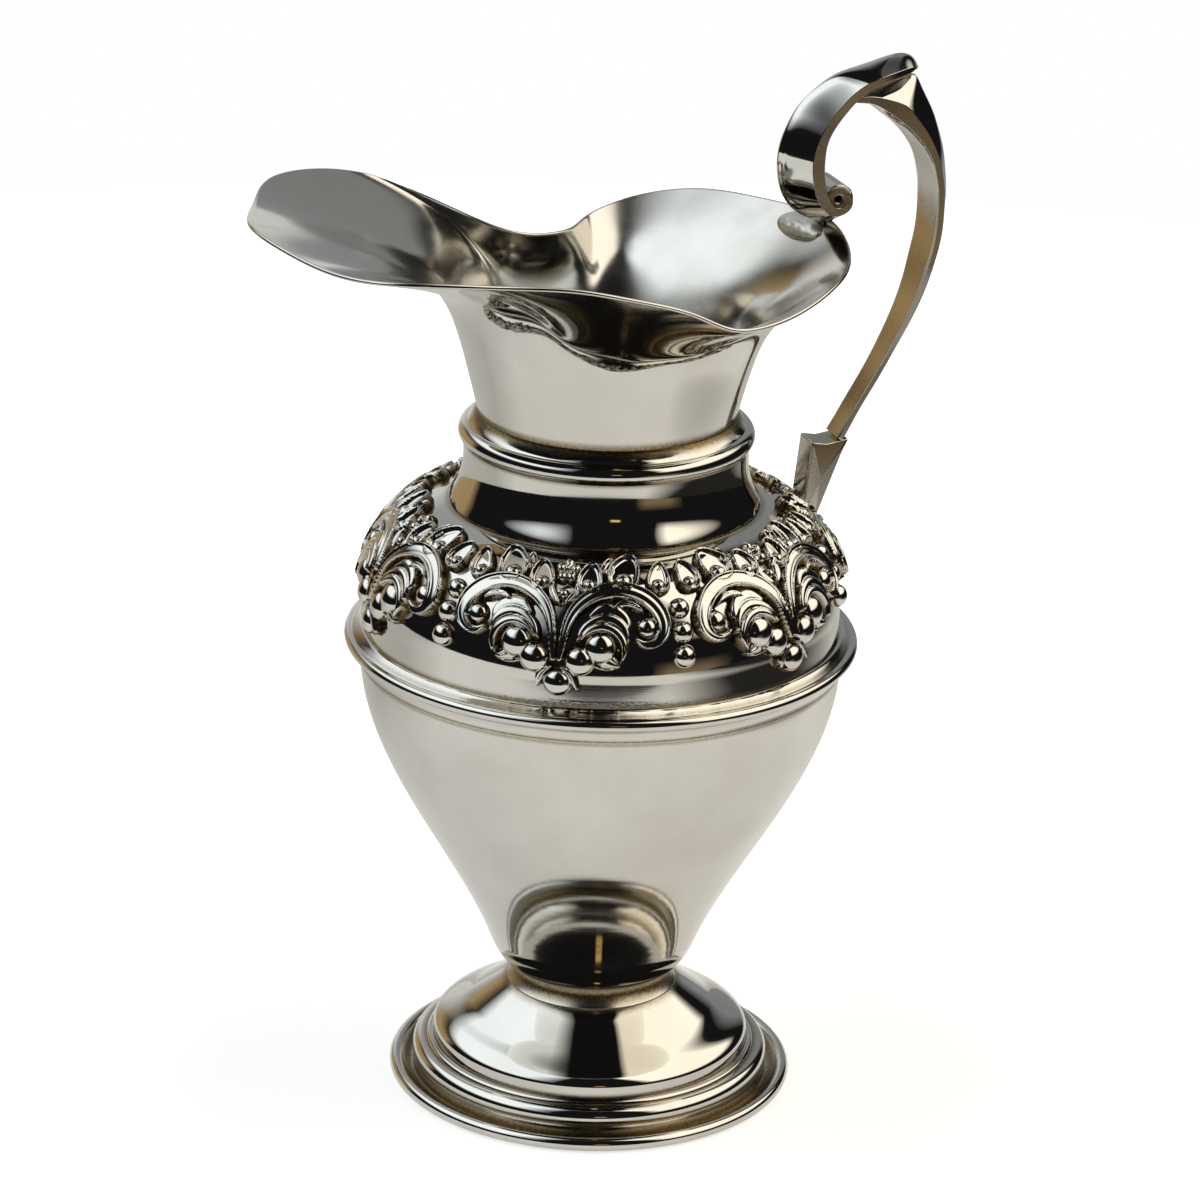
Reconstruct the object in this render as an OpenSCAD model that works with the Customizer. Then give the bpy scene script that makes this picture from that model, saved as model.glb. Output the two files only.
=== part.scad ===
// Footed pouring jug: turned foot, bowl, belt, shoulder and collar,
// a pinched mouth with a long spout, a cast scroll handle and a leaf band.
// Millimetres. The jug stands on z = 0, the handle is at +X, the spout at -X.

/* [Body] */
// Outer radius of the shoulder's upright wall
shoulder_r = 56; // [45:0.1:68]
// Height of the bowl from foot neck to seam
bowl_h = 79.1; // [64:0.1:96]
// Radius of the arc that rounds the shoulder in
shoulder_arc = 24.6; // [20:0.1:28]
// Height of the shoulder's upright wall above the belt
wall_h = 6.6; // [5:0.1:10]
// Sheet thickness of the spun shells
sheet_t = 1; // [0.8:0.1:1.6]

/* [Foot] */
// Outer radius of the foot wire
foot_r = 48.5; // [40:0.1:58]
// Height of the whole foot up to the bowl
foot_h = 28.4; // [24:0.1:34]
// Radius of the foot's neck under the bowl
foot_neck_r = 18.6; // [15:0.1:22]
// Radius of the round edge of the foot wire
foot_edge_r = 1.6; // [1.2:0.1:2.2]

/* [Belt] */
// How far the belt ring stands out from the shoulder
belt_out = 4.6; // [3.4:0.1:5.6]
// Height of the belt ring with its skirt
belt_h = 7.9; // [7:0.1:9.5]
// Thickness of the skirt over the bowl's edge
skirt_t = 0.5; // [0.4:0.1:0.8]

/* [Neck and mouth] */
// Outer radius of the neck where it leaves the collar
neck_r = 30.2; // [25:0.1:34]
// Height of the collar
collar_h = 21.9; // [18:0.1:26]
// Reach of the spout from the axis
spout_reach = 86; // [70:0.5:104]
// Half width of the spout
spout_w = 49; // [42:0.5:56]
// Half width of the mouth at its waist on the pinched side
waist_w = 27; // [24:0.5:33]
// Half width of the mouth on the wide side
wide_w = 54; // [48:0.5:58]
// Half width of the round back of the mouth
back_w = 51.5; // [44:0.5:58]
// Reach of the back of the rim from the axis
back_reach = 54; // [46:0.5:62]
// Height of the spout above the collar
spout_h = 47.5; // [38:0.5:56]
// Outward lean of the neck for each millimetre of height
neck_lean = 0.25; // [0.15:0.01:0.32]

/* [Handle] */
// How far the stem bows out beyond its foot
handle_bow = 21.1; // [17:0.1:26]
// Height of the handle's top above the back of the rim
scroll_h = 31.4; // [26:0.1:38]
// Width of the handle at its widest
handle_w = 13.2; // [11:0.1:16]

/* [Leaf band] */
// Height of the leaf relief
relief_h = 1.5; // [1:0.1:2.2]
// Radius of the largest berries
berry_r = 3.7; // [2.8:0.1:4.4]
// Radius of the lowest bead of a drop
bead_r = 2.75; // [2.2:0.1:3.4]
// Clear gap between the leaf band and the handle's foot
foot_gap = 0.3; // [0.2:0.1:0.6]

/* [Part shown] */
// Name of the one sub-part to draw, or all

/* [Hidden] */
$fn = 96;
motif_n = 6;
silver = [0.82, 0.82, 0.80];
tarnish = [0.62, 0.52, 0.36];

// Heights that follow from the sizes above
seam_z = foot_h + bowl_h;
belt_top = seam_z + belt_h;
arc_z = belt_top + wall_h;
arc_c = shoulder_r - shoulder_arc;
collar_r = neck_r + 6.3;
collar_z = arc_z + sqrt(pow(shoulder_arc, 2) - pow(collar_r - arc_c, 2));
neck_z = collar_z + collar_h;
bowl_r = shoulder_r + 0.8 * sheet_t;
bowl_top = seam_z + 0.58 * belt_h;

// Foot: radii step in from the wire to the upright band
web_z = foot_edge_r;
band_r = foot_r - 10.5;
bead_z = 0.29 * foot_h;
band_z = 0.41 * foot_h;

// Rim: back, waist and spout heights
spout_z = neck_z + spout_h;
back_z = neck_z + 0.876 * spout_h;
waist_z = neck_z + 0.767 * spout_h;

// Handle anchors: back of the rim and foot of the stem on the shoulder
stem_foot = [shoulder_r + 2.3, collar_z + 12.1];
stem_reach = stem_foot[0] + handle_bow;
handle_top = [stem_foot[0] + 0.711 * handle_bow, back_z + scroll_h];

// Smooth curves
function bez(a, b, c, d, n) = [for (i = [0:n]) let (t = i / n)
    pow(1 - t, 3) * a + 3 * t * pow(1 - t, 2) * b + 3 * t * t * (1 - t) * c + pow(t, 3) * d];
function knot(a, b, c, d, t) = 0.5 * (2 * b + (c - a) * t + (2 * a - 5 * b + 4 * c - d) * t * t
    + (3 * b - a - 3 * c + d) * t * t * t);
function through(p, n) = let (m = len(p) - 1) concat([for (i = [0:m - 1]) for (k = [0:n - 1])
    knot(p[max(i - 1, 0)], p[i], p[i + 1], p[min(i + 2, m)], k / n)], [p[m]]);
function unit(v) = v / norm(v);
function back_to_front(p) = [for (i = [len(p) - 1:-1:0]) p[i]];

// Second line of a shell outline, moved in by t
function inner_line(p, t) = [for (i = [0:len(p) - 1])
    let (d = unit(p[min(i + 1, len(p) - 1)] - p[max(i - 1, 0)])) p[i] + t * [-d[1], d[0]]];

// Profile points, radius then height
foot_line = concat([[band_r, band_z]],
    bez([band_r, band_z], [band_r - 0.2, band_z + 2.6], [0.85 * band_r, 0.55 * foot_h],
        [0.76 * band_r, 0.638 * foot_h], 8),
    [[foot_neck_r + 1.8, foot_h - 4.2]]);
bowl_line = concat(
    bez([foot_neck_r, foot_h], [foot_neck_r + 3.4, foot_h + 1], [foot_neck_r + 5, foot_h + 4.2],
        [foot_neck_r + 6.6, foot_h + 0.103 * bowl_h], 5),
    bez([foot_neck_r + 6.6, foot_h + 0.103 * bowl_h], [0.533 * bowl_r, foot_h + 0.27 * bowl_h],
        [0.75 * bowl_r, foot_h + 0.49 * bowl_h], [0.861 * bowl_r, foot_h + 0.655 * bowl_h], 9),
    bez([0.861 * bowl_r, foot_h + 0.655 * bowl_h], [0.936 * bowl_r, foot_h + 0.762 * bowl_h],
        [0.998 * bowl_r, foot_h + 0.88 * bowl_h], [bowl_r, seam_z], 8));
bowl_points = [for (i = [0:len(bowl_line) - 1]) if (i == 0 || norm(bowl_line[i] - bowl_line[i - 1]) > 0.01)
    bowl_line[i]];
foot_points = [for (i = [0:len(foot_line) - 1]) if (i == 0 || norm(foot_line[i] - foot_line[i - 1]) > 0.01)
    foot_line[i]];

// Rim control points of the pinched half: x, y, z, angle on the neck, start and softness of the flare,
// share of the neck's lean, flare power
rim_half = [
    [-spout_reach, 0, spout_z + 1.5, 180, 0.82, 0.1, 1, 1],
    [-0.965 * spout_reach, 0.302 * spout_w, spout_z + 0.6, 169.1, 0.82, 0.1, 1, 1],
    [-0.897 * spout_reach, 0.616 * spout_w, spout_z - 0.4, 157.3, 0.82, 0.1, 1, 1],
    [-0.805 * spout_reach, 0.896 * spout_w, spout_z + 0.5, 145.7, 0.82, 0.1, 1, 1],
    [-0.63 * spout_reach, spout_w, spout_z + 0.2, 135.2, 0.82, 0.1, 1, 1],
    [-0.451 * spout_reach, 0.914 * spout_w, lerp(waist_z, spout_z, 0.777), 126.3, 0.81, 0.1, 1, 1],
    [-0.31 * spout_reach, 1.289 * waist_w, lerp(waist_z, spout_z, 0.39), 120.1, 0.79, 0.11, 1, 1],
    [-0.16 * spout_reach, waist_w, waist_z, 109, 0.76, 0.115, 1, 1],
    [0.015 * back_reach, 1.23 * waist_w, waist_z - 2.2, 85.2, 0.75, 0.12, 1, 1],
    [0.189 * back_reach, 0.899 * back_w, waist_z - 3.5, 73.5, 0.75, 0.12, 1, 1],
    [0.431 * back_reach, back_w, waist_z - 1.6, 61.3, 0.75, 0.12, 1, 1],
    [0.685 * back_reach, 0.843 * back_w, lerp(waist_z, back_z, 0.35), 46.3, 0.75, 0.12, 1, 1],
    [0.859 * back_reach, 0.598 * back_w, lerp(waist_z, back_z, 0.55), 31.2, 0.75, 0.12, 1, 1],
    [0.967 * back_reach, 0.305 * back_w, lerp(waist_z, back_z, 0.78), 15.5, 0.745, 0.12, 1, 1]];
// Rows that differ on the wide side, where the rim runs higher and turns out sooner
wide_rows = [
    [-0.63 * spout_reach, spout_w, spout_z + 0.2, 136, 0.82, 0.1, 0.88, 1],
    [-0.451 * spout_reach, lerp(wide_w, spout_w, 0.8), lerp(waist_z, spout_z, 0.903), 127.5,
     0.61, 0.06, 0.72, 1.1],
    [-0.31 * spout_reach, lerp(wide_w, spout_w, 0.3), lerp(waist_z, spout_z, 0.829), 118.5,
     0.47, 0.045, 0.6, 1.35],
    [-0.16 * spout_reach, wide_w, lerp(waist_z, spout_z, 0.587), 106.5, 0.43, 0.04, 0.52, 1.4],
    [0.015 * back_reach, wide_w, lerp(waist_z, spout_z, 0.168), 90, 0.54, 0.04, 0.52, 1.3],
    [0.189 * back_reach, lerp(wide_w, back_w, 0.4), waist_z - 2.4, 78, 0.67, 0.05, 0.6, 1.15],
    [0.431 * back_reach, back_w, waist_z - 1.5, 63, 0.76, 0.08, 0.8, 1.05]];
rim_wide = concat([for (i = [1:3]) rim_half[i]], wide_rows, [for (i = [11:13]) rim_half[i]]);
rim_back = [back_reach, 0, back_z, 0, 0.745, 0.12, 1, 1];
function lerp(a, b, t) = a + (b - a) * t;
rim_loop = concat(rim_half, [rim_back],
    [for (i = [len(rim_wide) - 1:-1:0]) let (q = rim_wide[i]) turned(q, -1, -q[3])]);
rim_steps = 3;
flare_steps = 14;

// Angle list runs from 180 down to -180, so the loop is closed by hand
rim_tip = rim_half[0];
rim_next = rim_half[1];
function turned(q, side, angle) = concat([q[0], side * q[1], q[2], angle], [for (k = [4:7]) q[k]]);
rim_open = concat([turned(rim_next, -1, 360 - rim_next[3])], rim_loop,
    [turned(rim_tip, 1, -180), turned(rim_next, 1, rim_next[3] - 360)]);
rim_line = [for (i = [1:len(rim_loop)]) for (k = [0:rim_steps - 1])
    knot(rim_open[i - 1], rim_open[i], rim_open[i + 1], rim_open[i + 2], k / rim_steps)];
rim_n = len(rim_line);

// One point of the wall: s runs from the neck to the rim, the neck's cone gives way to the rim
function flare_at(k) = 1 - pow(1 - k / flare_steps, 1.5);
function soft(x, w) = w * ln(1 + exp(x / w));
function bend(q, s) = let (low = soft(-q[4], q[5]))
    pow((soft(s - q[4], q[5]) - low) / (soft(1 - q[4], q[5]) - low), q[7]);
function wall(i, s) = let (q = rim_line[(i + rim_n) % rim_n], g = bend(q, s), z = lerp(neck_z, q[2], s),
    r = neck_r + neck_lean * q[6] * (z - neck_z))
    [lerp(r * cos(q[3]), q[0], g), lerp(r * sin(q[3]), q[1], g), z];
function wall_in(i, s) = let (e = 0.02, u = wall(i + 1, s) - wall(i - 1, s),
    v = s > 0.5 ? wall(i, s) - wall(i, s - e) : wall(i, s + e) - wall(i, s))
    wall(i, s) + sheet_t * unit(cross(v, u)) * -1;
mouth_low = neck_z - 10;
mouth_rows = concat(
    [[for (i = [0:rim_n - 1]) let (a = rim_line[i][3]) [neck_r * cos(a), neck_r * sin(a), mouth_low]]],
    [for (k = [0:flare_steps]) [for (i = [0:rim_n - 1]) wall(i, flare_at(k))]],
    [for (k = [flare_steps:-1:0]) [for (i = [0:rim_n - 1]) wall_in(i, flare_at(k))]],
    [[for (i = [0:rim_n - 1]) let (a = rim_line[i][3], r = neck_r - sheet_t)
        [r * cos(a), r * sin(a), mouth_low]]]);

// Scroll path along its edge: x, z, crown height, side thickness, half width
scroll_path = [for (q = [[1.021, 1.151, 0.5, 0.4, 0.25], [0.913, 1.179, 1.8, 0.9, 0.67],
        [0.759, 1.17, 2.5, 1.2, 0.82], [0.574, 1.141, 2.4, 1.4, 0.9],
        [0.333, 1.097, 2.5, 1.7, 0.94], [0.123, 1.02, 4, 2, 0.95],
        [-0.062, 0.905, 5.3, 2.1, 0.95], [-0.205, 0.791, 6.1, 2.2, 0.95], [-0.303, 0.685, 6.2, 2.5, 0.95],
        [-0.354, 0.593, 6.4, 2.9, 0.95], [-0.374, 0.5, 6.5, 3.1, 0.95], [-0.369, 0.402, 6.4, 3.1, 0.95],
        [-0.338, 0.306, 6.2, 3, 0.94], [-0.282, 0.21, 5.2, 2.9, 0.92], [-0.195, 0.137, 3.9, 2.6, 0.91],
        [-0.077, 0.092, 3.1, 2.2, 0.9], [0.051, 0.105, 1.8, 1.6, 0.9]])
    [lerp(back_reach, handle_top[0], q[0]), lerp(back_z, handle_top[1], q[1]), q[2], q[3],
     q[4] * handle_w / 2]];
curl_c = [back_reach - 0.6, back_z + 0.217 * scroll_h];
curl_r = 3.7;

// Stem path along its inner face: x, z, crown height, no sides below it, half width
stem_path = [for (q = [[-0.19, 0.983, 1.5, 0.9], [-0.057, 0.976, 3.6, 0.92], [0.095, 0.97, 5.4, 0.95],
        [0.223, 0.952, 8.4, 0.97], [0.374, 0.922, 11.6, 1], [0.531, 0.892, 9.9, 1], [0.659, 0.861, 8.2, 1],
        [0.758, 0.83, 6.8, 1], [0.839, 0.795, 5.7, 1], [0.896, 0.749, 5, 1], [0.929, 0.708, 4.6, 1],
        [0.938, 0.651, 4.4, 1], [0.934, 0.602, 4.4, 0.99],
        [0.91, 0.55, 4.3, 0.97], [0.867, 0.5, 4.2, 0.95], [0.787, 0.421, 3.9, 0.86],
        [0.654, 0.33, 3.4, 0.74],
        [0.502, 0.249, 3, 0.66], [0.327, 0.165, 2.8, 0.62], [0.114, 0.073, 2.8, 0.61],
        [-0.019, 0.015, 3.2, 0.61],
        [-0.081, -0.012, 3.4, 0.61]])
    [lerp(stem_foot[0], stem_reach, q[0]), lerp(stem_foot[1], handle_top[1], q[1]),
     0.62 * q[2], 0.38 * q[2],
     q[3] * handle_w / 2]];

// Ring of points round a path in the XZ plane: a crown on the left of the travel, flat sides and back
section_n = 20;
function d_section(c, t, b) = concat(
    [for (k = [0:section_n - 3]) let (w = 180 * k / (section_n - 3) - 90) [c * cos(w), b * sin(w)]],
    [[-t, 0.97 * b], [-t, -0.97 * b]]);
function travel(p, i) = unit([for (j = [0, 1]) p[min(i + 1, len(p) - 1)][j] - p[max(i - 1, 0)][j]]);
function path_ring(p, i, lift) = let (d = travel(p, i), nx = -d[1], nz = d[0], u = lift * p[i][3])
    [for (q = d_section(p[i][2], p[i][3], p[i][4]))
        [p[i][0] + nx * (q[0] + u), q[1], p[i][1] + nz * (q[0] + u)]];
function path_rows(p, lift) = [for (i = [0:len(p) - 1]) path_ring(p, i, lift)];

// Solid between closed rows of points, with flat ends
module swept(rows) {
    n = len(rows[0]);
    m = len(rows);
    sides = [for (i = [0:m - 2]) for (k = [0:n - 1]) each [
        [i * n + k, i * n + (k + 1) % n, (i + 1) * n + (k + 1) % n],
        [i * n + k, (i + 1) * n + (k + 1) % n, (i + 1) * n + k]]];
    ends = [[for (k = [n - 1:-1:0]) k], [for (k = [0:n - 1]) (m - 1) * n + k]];
    polyhedron([for (r = rows) each r], concat(sides, ends), convexity = 6);
}

// Solid between rows whose last row joins the first
module closed_shell(rows) {
    n = len(rows[0]);
    m = len(rows);
    sides = [for (i = [0:m - 1]) for (k = [0:n - 1]) let (j = (i + 1) % m) each [
        [i * n + k, j * n + (k + 1) % n, i * n + (k + 1) % n],
        [i * n + k, j * n + k, j * n + (k + 1) % n]]];
    polyhedron([for (r = rows) each r], sides, convexity = 8);
}

// Outline of the shoulder, grown by g, as one half section
module shoulder_half(g) {
    translate([0, bowl_top])
        square([shoulder_r + g, arc_z - bowl_top]);
    intersection() {
        translate([arc_c, arc_z])
            circle(r = shoulder_arc + g);
        translate([0, arc_z - 0.01])
            square([shoulder_r + g + 1, shoulder_arc + g + 1]);
    }
    translate([0, arc_z - 0.01])
        square([arc_c, shoulder_arc + g + 0.01]);
}

// Whole outside of the shoulder as a filled solid
module shoulder_filled() {
    rotate_extrude()
        shoulder_half(0);
}

module foot_rim() {
    color(silver)
        rotate_extrude() {
            translate([band_r - 2, 0])
                square([foot_r - foot_edge_r - band_r + 2, web_z]);
            intersection() {
                translate([foot_r - foot_edge_r, foot_edge_r])
                    circle(r = foot_edge_r);
                translate([foot_r - foot_edge_r - 1, 0])
                    square([foot_edge_r + 2, 2 * foot_edge_r]);
            }
        }
}

module foot_bead() {
    color(silver)
        rotate_extrude()
            difference() {
                union() {
                    translate([band_r + 2.4, bead_z - 2.6])
                        circle(r = 2.6);
                    translate([band_r + 0.5, bead_z - 0.3])
                        circle(r = 1.1);
                    translate([band_r, web_z])
                        square([4.6, bead_z - 2.6 - web_z]);
                }
                square([band_r, foot_h]);
            }
}

module foot_dome() {
    outer = concat([[band_r, web_z]], foot_points);
    inner = concat(back_to_front(inner_line(foot_points, sheet_t)), [[band_r - sheet_t, web_z]]);
    color(silver)
        rotate_extrude()
            polygon(concat(outer, inner));
}

module foot_solder_ring() {
    last = len(foot_points) - 1;
    low = foot_points[last];
    low_in = inner_line(foot_points, sheet_t)[last];
    color(tarnish)
        rotate_extrude()
            polygon(concat([low_in],
                bez(low, [foot_neck_r + 0.3, foot_h - 2.8], [foot_neck_r - 0.6, foot_h - 1.4],
                    [foot_neck_r, foot_h], 5),
                [[foot_neck_r - 2.2, foot_h]]));
}

module bowl_shell() {
    inner = inner_line(bowl_points, sheet_t);
    last = len(bowl_points) - 1;
    color(silver)
        rotate_extrude()
            polygon(concat([[0, foot_h]], bowl_points, [[bowl_r, bowl_top], [bowl_r - sheet_t, bowl_top]],
                [for (i = [last:-1:3]) inner[i]], [[0, foot_h + 2.2]]));
}

module belt_ring() {
    out_r = shoulder_r + belt_out;
    edge = 0.17 * belt_h;
    color(silver)
        rotate_extrude()
            difference() {
                union() {
                    polygon(concat([[bowl_r, seam_z], [bowl_r + skirt_t, seam_z]],
                        bez([bowl_r + skirt_t, seam_z + 0.12 * belt_h],
                            [bowl_r + skirt_t, seam_z + 0.34 * belt_h],
                            [out_r - 2.2, seam_z + 0.38 * belt_h], [out_r - edge, seam_z + 0.45 * belt_h], 6),
                        [[out_r - edge, seam_z + 0.79 * belt_h], [shoulder_r + 1, belt_top - 0.3],
                         [shoulder_r, belt_top], [shoulder_r, bowl_top], [bowl_r, bowl_top]]));
                    translate([out_r - edge, seam_z + 0.62 * belt_h])
                        circle(r = edge);
                }
                square([shoulder_r, belt_top + 1]);
                square([bowl_r, bowl_top]);
            }
}

module shoulder_shell() {
    color(silver)
        rotate_extrude()
            difference() {
                shoulder_half(0);
                shoulder_half(-sheet_t);
                square([shoulder_r - sheet_t, arc_z]);
                square([collar_r - 1, collar_z + 10]);
            }
}

module neck_collar() {
    bead = 2.4;
    top = neck_z - 2.6;
    color(silver)
        rotate_extrude() {
            difference() {
                polygon(concat([[neck_r, collar_z - 3], [collar_r, collar_z - 3], [collar_r, collar_z]],
                    bez([collar_r, collar_z + 0.4], [collar_r - 1, collar_z + 3.4],
                        [neck_r + 3, collar_z + 5.5], [neck_r + 3.1, collar_z + 11.6], 6),
                    [[neck_r + 3.1, top - 3], [neck_r + 1.6, top], [neck_r, neck_z]]));
                shoulder_half(0);
            }
            difference() {
                translate([neck_r + 2, top - bead])
                    circle(r = bead);
                square([neck_r, neck_z + 10]);
            }
            translate([neck_r, collar_z - 3])
                square([collar_r - 1 - neck_r, 5]);
        }
}

module mouth_shell() {
    color(silver)
        closed_shell(mouth_rows);
}

module scroll_body() {
    swept(path_rows(through(back_to_front(scroll_path), 3), 0));
    translate([curl_c[0], 0, curl_c[1]])
        rotate([90, 0, 0])
            cylinder(r = curl_r, h = 0.9 * handle_w, center = true, $fn = 32);
}

module handle_scroll() {
    color(silver)
        difference() {
            scroll_body();
            closed_shell(mouth_rows);
        }
}

module handle_stem() {
    color(silver)
        difference() {
            swept(path_rows(through(stem_path, 2), 1));
            scroll_body();
            bracket_body();
        }
}

// Wedge outline of the bracket: stem side, then the inner side
module bracket_body() {
    f = stem_foot;
    rotate([90, 0, 0])
        linear_extrude(height = 0.62 * handle_w, center = true)
            polygon([[f[0] - 8, f[1] - 1.4], [f[0] - 4.2, f[1] - 2], [f[0] + 1.2, f[1] - 1.2],
                     [f[0] - 0.6, f[1] - 5], [f[0] - 6.4, f[1] - 20.5], [f[0] - 10, f[1] - 20.5]]);
}

module handle_bracket() {
    color(silver)
        difference() {
            bracket_body();
            shoulder_filled();
        }
}

// Thin pad on the inside of the rim, thickest in its middle
pad_half = 2;
function pad_point(k, s, t) = let (i = rim_n / 2 + k, c = wall_in(i, s))
    c + t * unit([-0.8, 0, 0.6]);
function pad_t(k, j) = 0.25 + 2.2 * cos(80 * k / pad_half) * sin(20 + 35 * j);
pad_rows = [for (j = [0:4]) let (s = 0.82 + 0.03 * j) concat(
    [for (k = [-pad_half:pad_half]) pad_point(k, s, 0)],
    [for (k = [pad_half:-1:-pad_half]) pad_point(k, s, pad_t(k, j))])];

module rim_solder() {
    color(tarnish)
        swept(pad_rows);
}

// Frame on the shoulder at angle w and arc length v above the belt: X points out
function arc_angle(v) = v < wall_h ? 0 : (v - wall_h) / shoulder_arc * 180 / PI;
module on_shoulder(w, v) {
    a = arc_angle(v);
    rotate([0, 0, w])
        translate([arc_c + shoulder_arc * cos(a), 0,
                   v < wall_h ? belt_top + v : arc_z + shoulder_arc * sin(a)])
            rotate([0, -a, 0])
                children();
}

// Layer of height h on the outside of the shoulder
module relief_layer(h) {
    rotate_extrude()
        difference() {
            shoulder_half(h);
            shoulder_half(0);
            square([arc_c + 7, collar_z + 20]);
            square([shoulder_r + h, belt_top + 1]);
        }
}

// Pointed leaf from two arcs: length 2 * l, tip along the angle w
module leaf(x, y, l, w) {
    translate([x, y])
        rotate(w)
            intersection() {
                translate([0, 0.6 * l])
                    circle(r = 1.16 * l);
                translate([0, -0.6 * l])
                    circle(r = 1.16 * l);
            }
}

// Half-round berry standing on the shoulder
module berry(w, v, r) {
    on_shoulder(w, v)
        rotate([0, 90, 0])
            rotate_extrude()
                intersection() {
                    circle(r = r);
                    square([r, r]);
                }
}

// Berry places: along the band, up from the motif's middle
flank_at = [4.4, -9.4];
bud_at = [8.9, -5.2];
flank_r = 0.86 * berry_r;
bud_r = 0.76 * berry_r;
mid_v = wall_h + 13.4;
function along(u, v) = u / (arc_c + shoulder_arc * cos(arc_angle(v))) * 180 / PI;

// Right half of one motif, flat, around its middle point
module half_motif() {
    difference() {
        union() {
            difference() {
                translate([12.6, -1])
                    circle(r = 10.8);
                translate([12.9, -2.6])
                    circle(r = 8.5);
                translate([10, -16])
                    square([20, 13]);
            }
            difference() {
                translate([9.4, -5])
                    circle(r = 6.3);
                translate([8.6, -6.4])
                    circle(r = 4.9);
            }
            translate([20, -1.6])
                circle(r = 3.4);
            leaf(13.5, 11.4, 4.4, 80);
            leaf(20.6, 9.6, 4, 55);
            leaf(6.4, 11.6, 3.6, 105);
        }
        translate(flank_at)
            circle(r = flank_r + foot_gap);
        translate(bud_at)
            circle(r = bud_r + foot_gap);
    }
}

// One motif, with room for the handle's foot when it stands there
module motif(at_handle) {
    intersection() {
        relief_layer(relief_h);
        on_shoulder(0, mid_v)
            translate([-20, 0, 0])
                rotate([90, 0, 90])
                    linear_extrude(height = 34)
                        difference() {
                            union() {
                                half_motif();
                                mirror([1, 0])
                                    half_motif();
                                leaf(0, 12.6, 3.2, 90);
                            }
                            if (at_handle)
                                translate([-0.31 * handle_w - foot_gap, -3])
                                    square([0.62 * handle_w + 2 * foot_gap, 30]);
                        }
    }
    for (s = [-1, 1]) {
        berry(s * along(flank_at[0], mid_v + flank_at[1]), mid_v + flank_at[1], flank_r);
        berry(s * along(bud_at[0], mid_v + bud_at[1]), mid_v + bud_at[1], bud_r);
    }
    berry(0, wall_h - 1, flank_r);
    if (!at_handle)
        berry(0, mid_v + 6.6, 0.6 * berry_r);
}

module motif_stampings() {
    color(silver)
        for (i = [0:motif_n - 1])
            rotate([0, 0, 360 * i / motif_n])
                motif(i == 0);
}

module bead_drops() {
    color(silver)
        for (i = [0:motif_n - 1])
            for (k = [0:2])
                berry(360 * (i + 0.5) / motif_n, wall_h + 5.2 + 1.98 * k * bead_r, bead_r * (1 - 0.06 * k));
}

foot_rim();
foot_bead();
foot_dome();
foot_solder_ring();
bowl_shell();
belt_ring();
shoulder_shell();
neck_collar();
mouth_shell();
handle_scroll();
handle_stem();
handle_bracket();
rim_solder();
motif_stampings();
bead_drops();
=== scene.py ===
# %% [markdown]
# A footed pouring jug in bright silver-coloured metal: a turned foot, an egg-shaped bowl, a belt
# ring, a domed shoulder with a band of leaf relief, a collar, a pinched mouth and a cast handle.
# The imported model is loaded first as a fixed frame, so that each finished piece can be laid over
# the solid it stands for, in the same place and at the same size.

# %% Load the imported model
import bpy
import numpy as np
from mathutils import Matrix


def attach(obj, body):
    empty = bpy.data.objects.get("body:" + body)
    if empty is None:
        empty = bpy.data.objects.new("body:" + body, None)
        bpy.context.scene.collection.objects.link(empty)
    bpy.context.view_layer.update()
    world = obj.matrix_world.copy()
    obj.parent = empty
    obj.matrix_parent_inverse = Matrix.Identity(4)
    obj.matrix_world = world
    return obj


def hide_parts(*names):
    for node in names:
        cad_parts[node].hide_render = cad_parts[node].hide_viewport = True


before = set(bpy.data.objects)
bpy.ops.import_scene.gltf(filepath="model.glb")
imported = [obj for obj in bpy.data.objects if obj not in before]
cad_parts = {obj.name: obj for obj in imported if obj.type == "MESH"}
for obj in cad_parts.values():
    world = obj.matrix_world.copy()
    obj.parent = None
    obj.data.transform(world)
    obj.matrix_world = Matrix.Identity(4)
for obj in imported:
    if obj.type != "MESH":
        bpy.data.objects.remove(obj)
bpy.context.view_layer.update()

# %% [markdown]
# The camera stands where the photographer stood: a little above the mouth, a long way back, with
# the handle turned 20 degrees away. Directions are easier to think of as right, away and up from
# the photographer's place, so one helper turns those into the jug's own frame. The frame is
# square, 150 mm of lens on a 36 mm sensor, and the camera is tipped by a degree and a half.

# %% Camera
TURN = np.radians(20.0)
CAMERA_BACK = 1104.304
CAMERA_UP = 531.144
PITCH, YAW, ROLL = np.radians([20.38891, -0.0222592, 1.626547])
MM = 0.001


def in_frame(right, away, up):
    """Turn a direction or place seen by the photographer into the jug's frame."""
    c, s = np.cos(TURN), np.sin(TURN)
    return np.array([c * right + s * away, -s * right + c * away, up])


level_right = in_frame(np.cos(YAW), -np.sin(YAW), 0.0)
level_ahead = in_frame(np.sin(YAW), np.cos(YAW), 0.0)
straight_up = np.array([0.0, 0.0, 1.0])
ahead = level_ahead * np.cos(PITCH) - straight_up * np.sin(PITCH)
upward = level_ahead * np.sin(PITCH) + straight_up * np.cos(PITCH)
view_right = np.cos(ROLL) * level_right + np.sin(ROLL) * upward
view_up = np.cos(ROLL) * upward - np.sin(ROLL) * level_right

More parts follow.
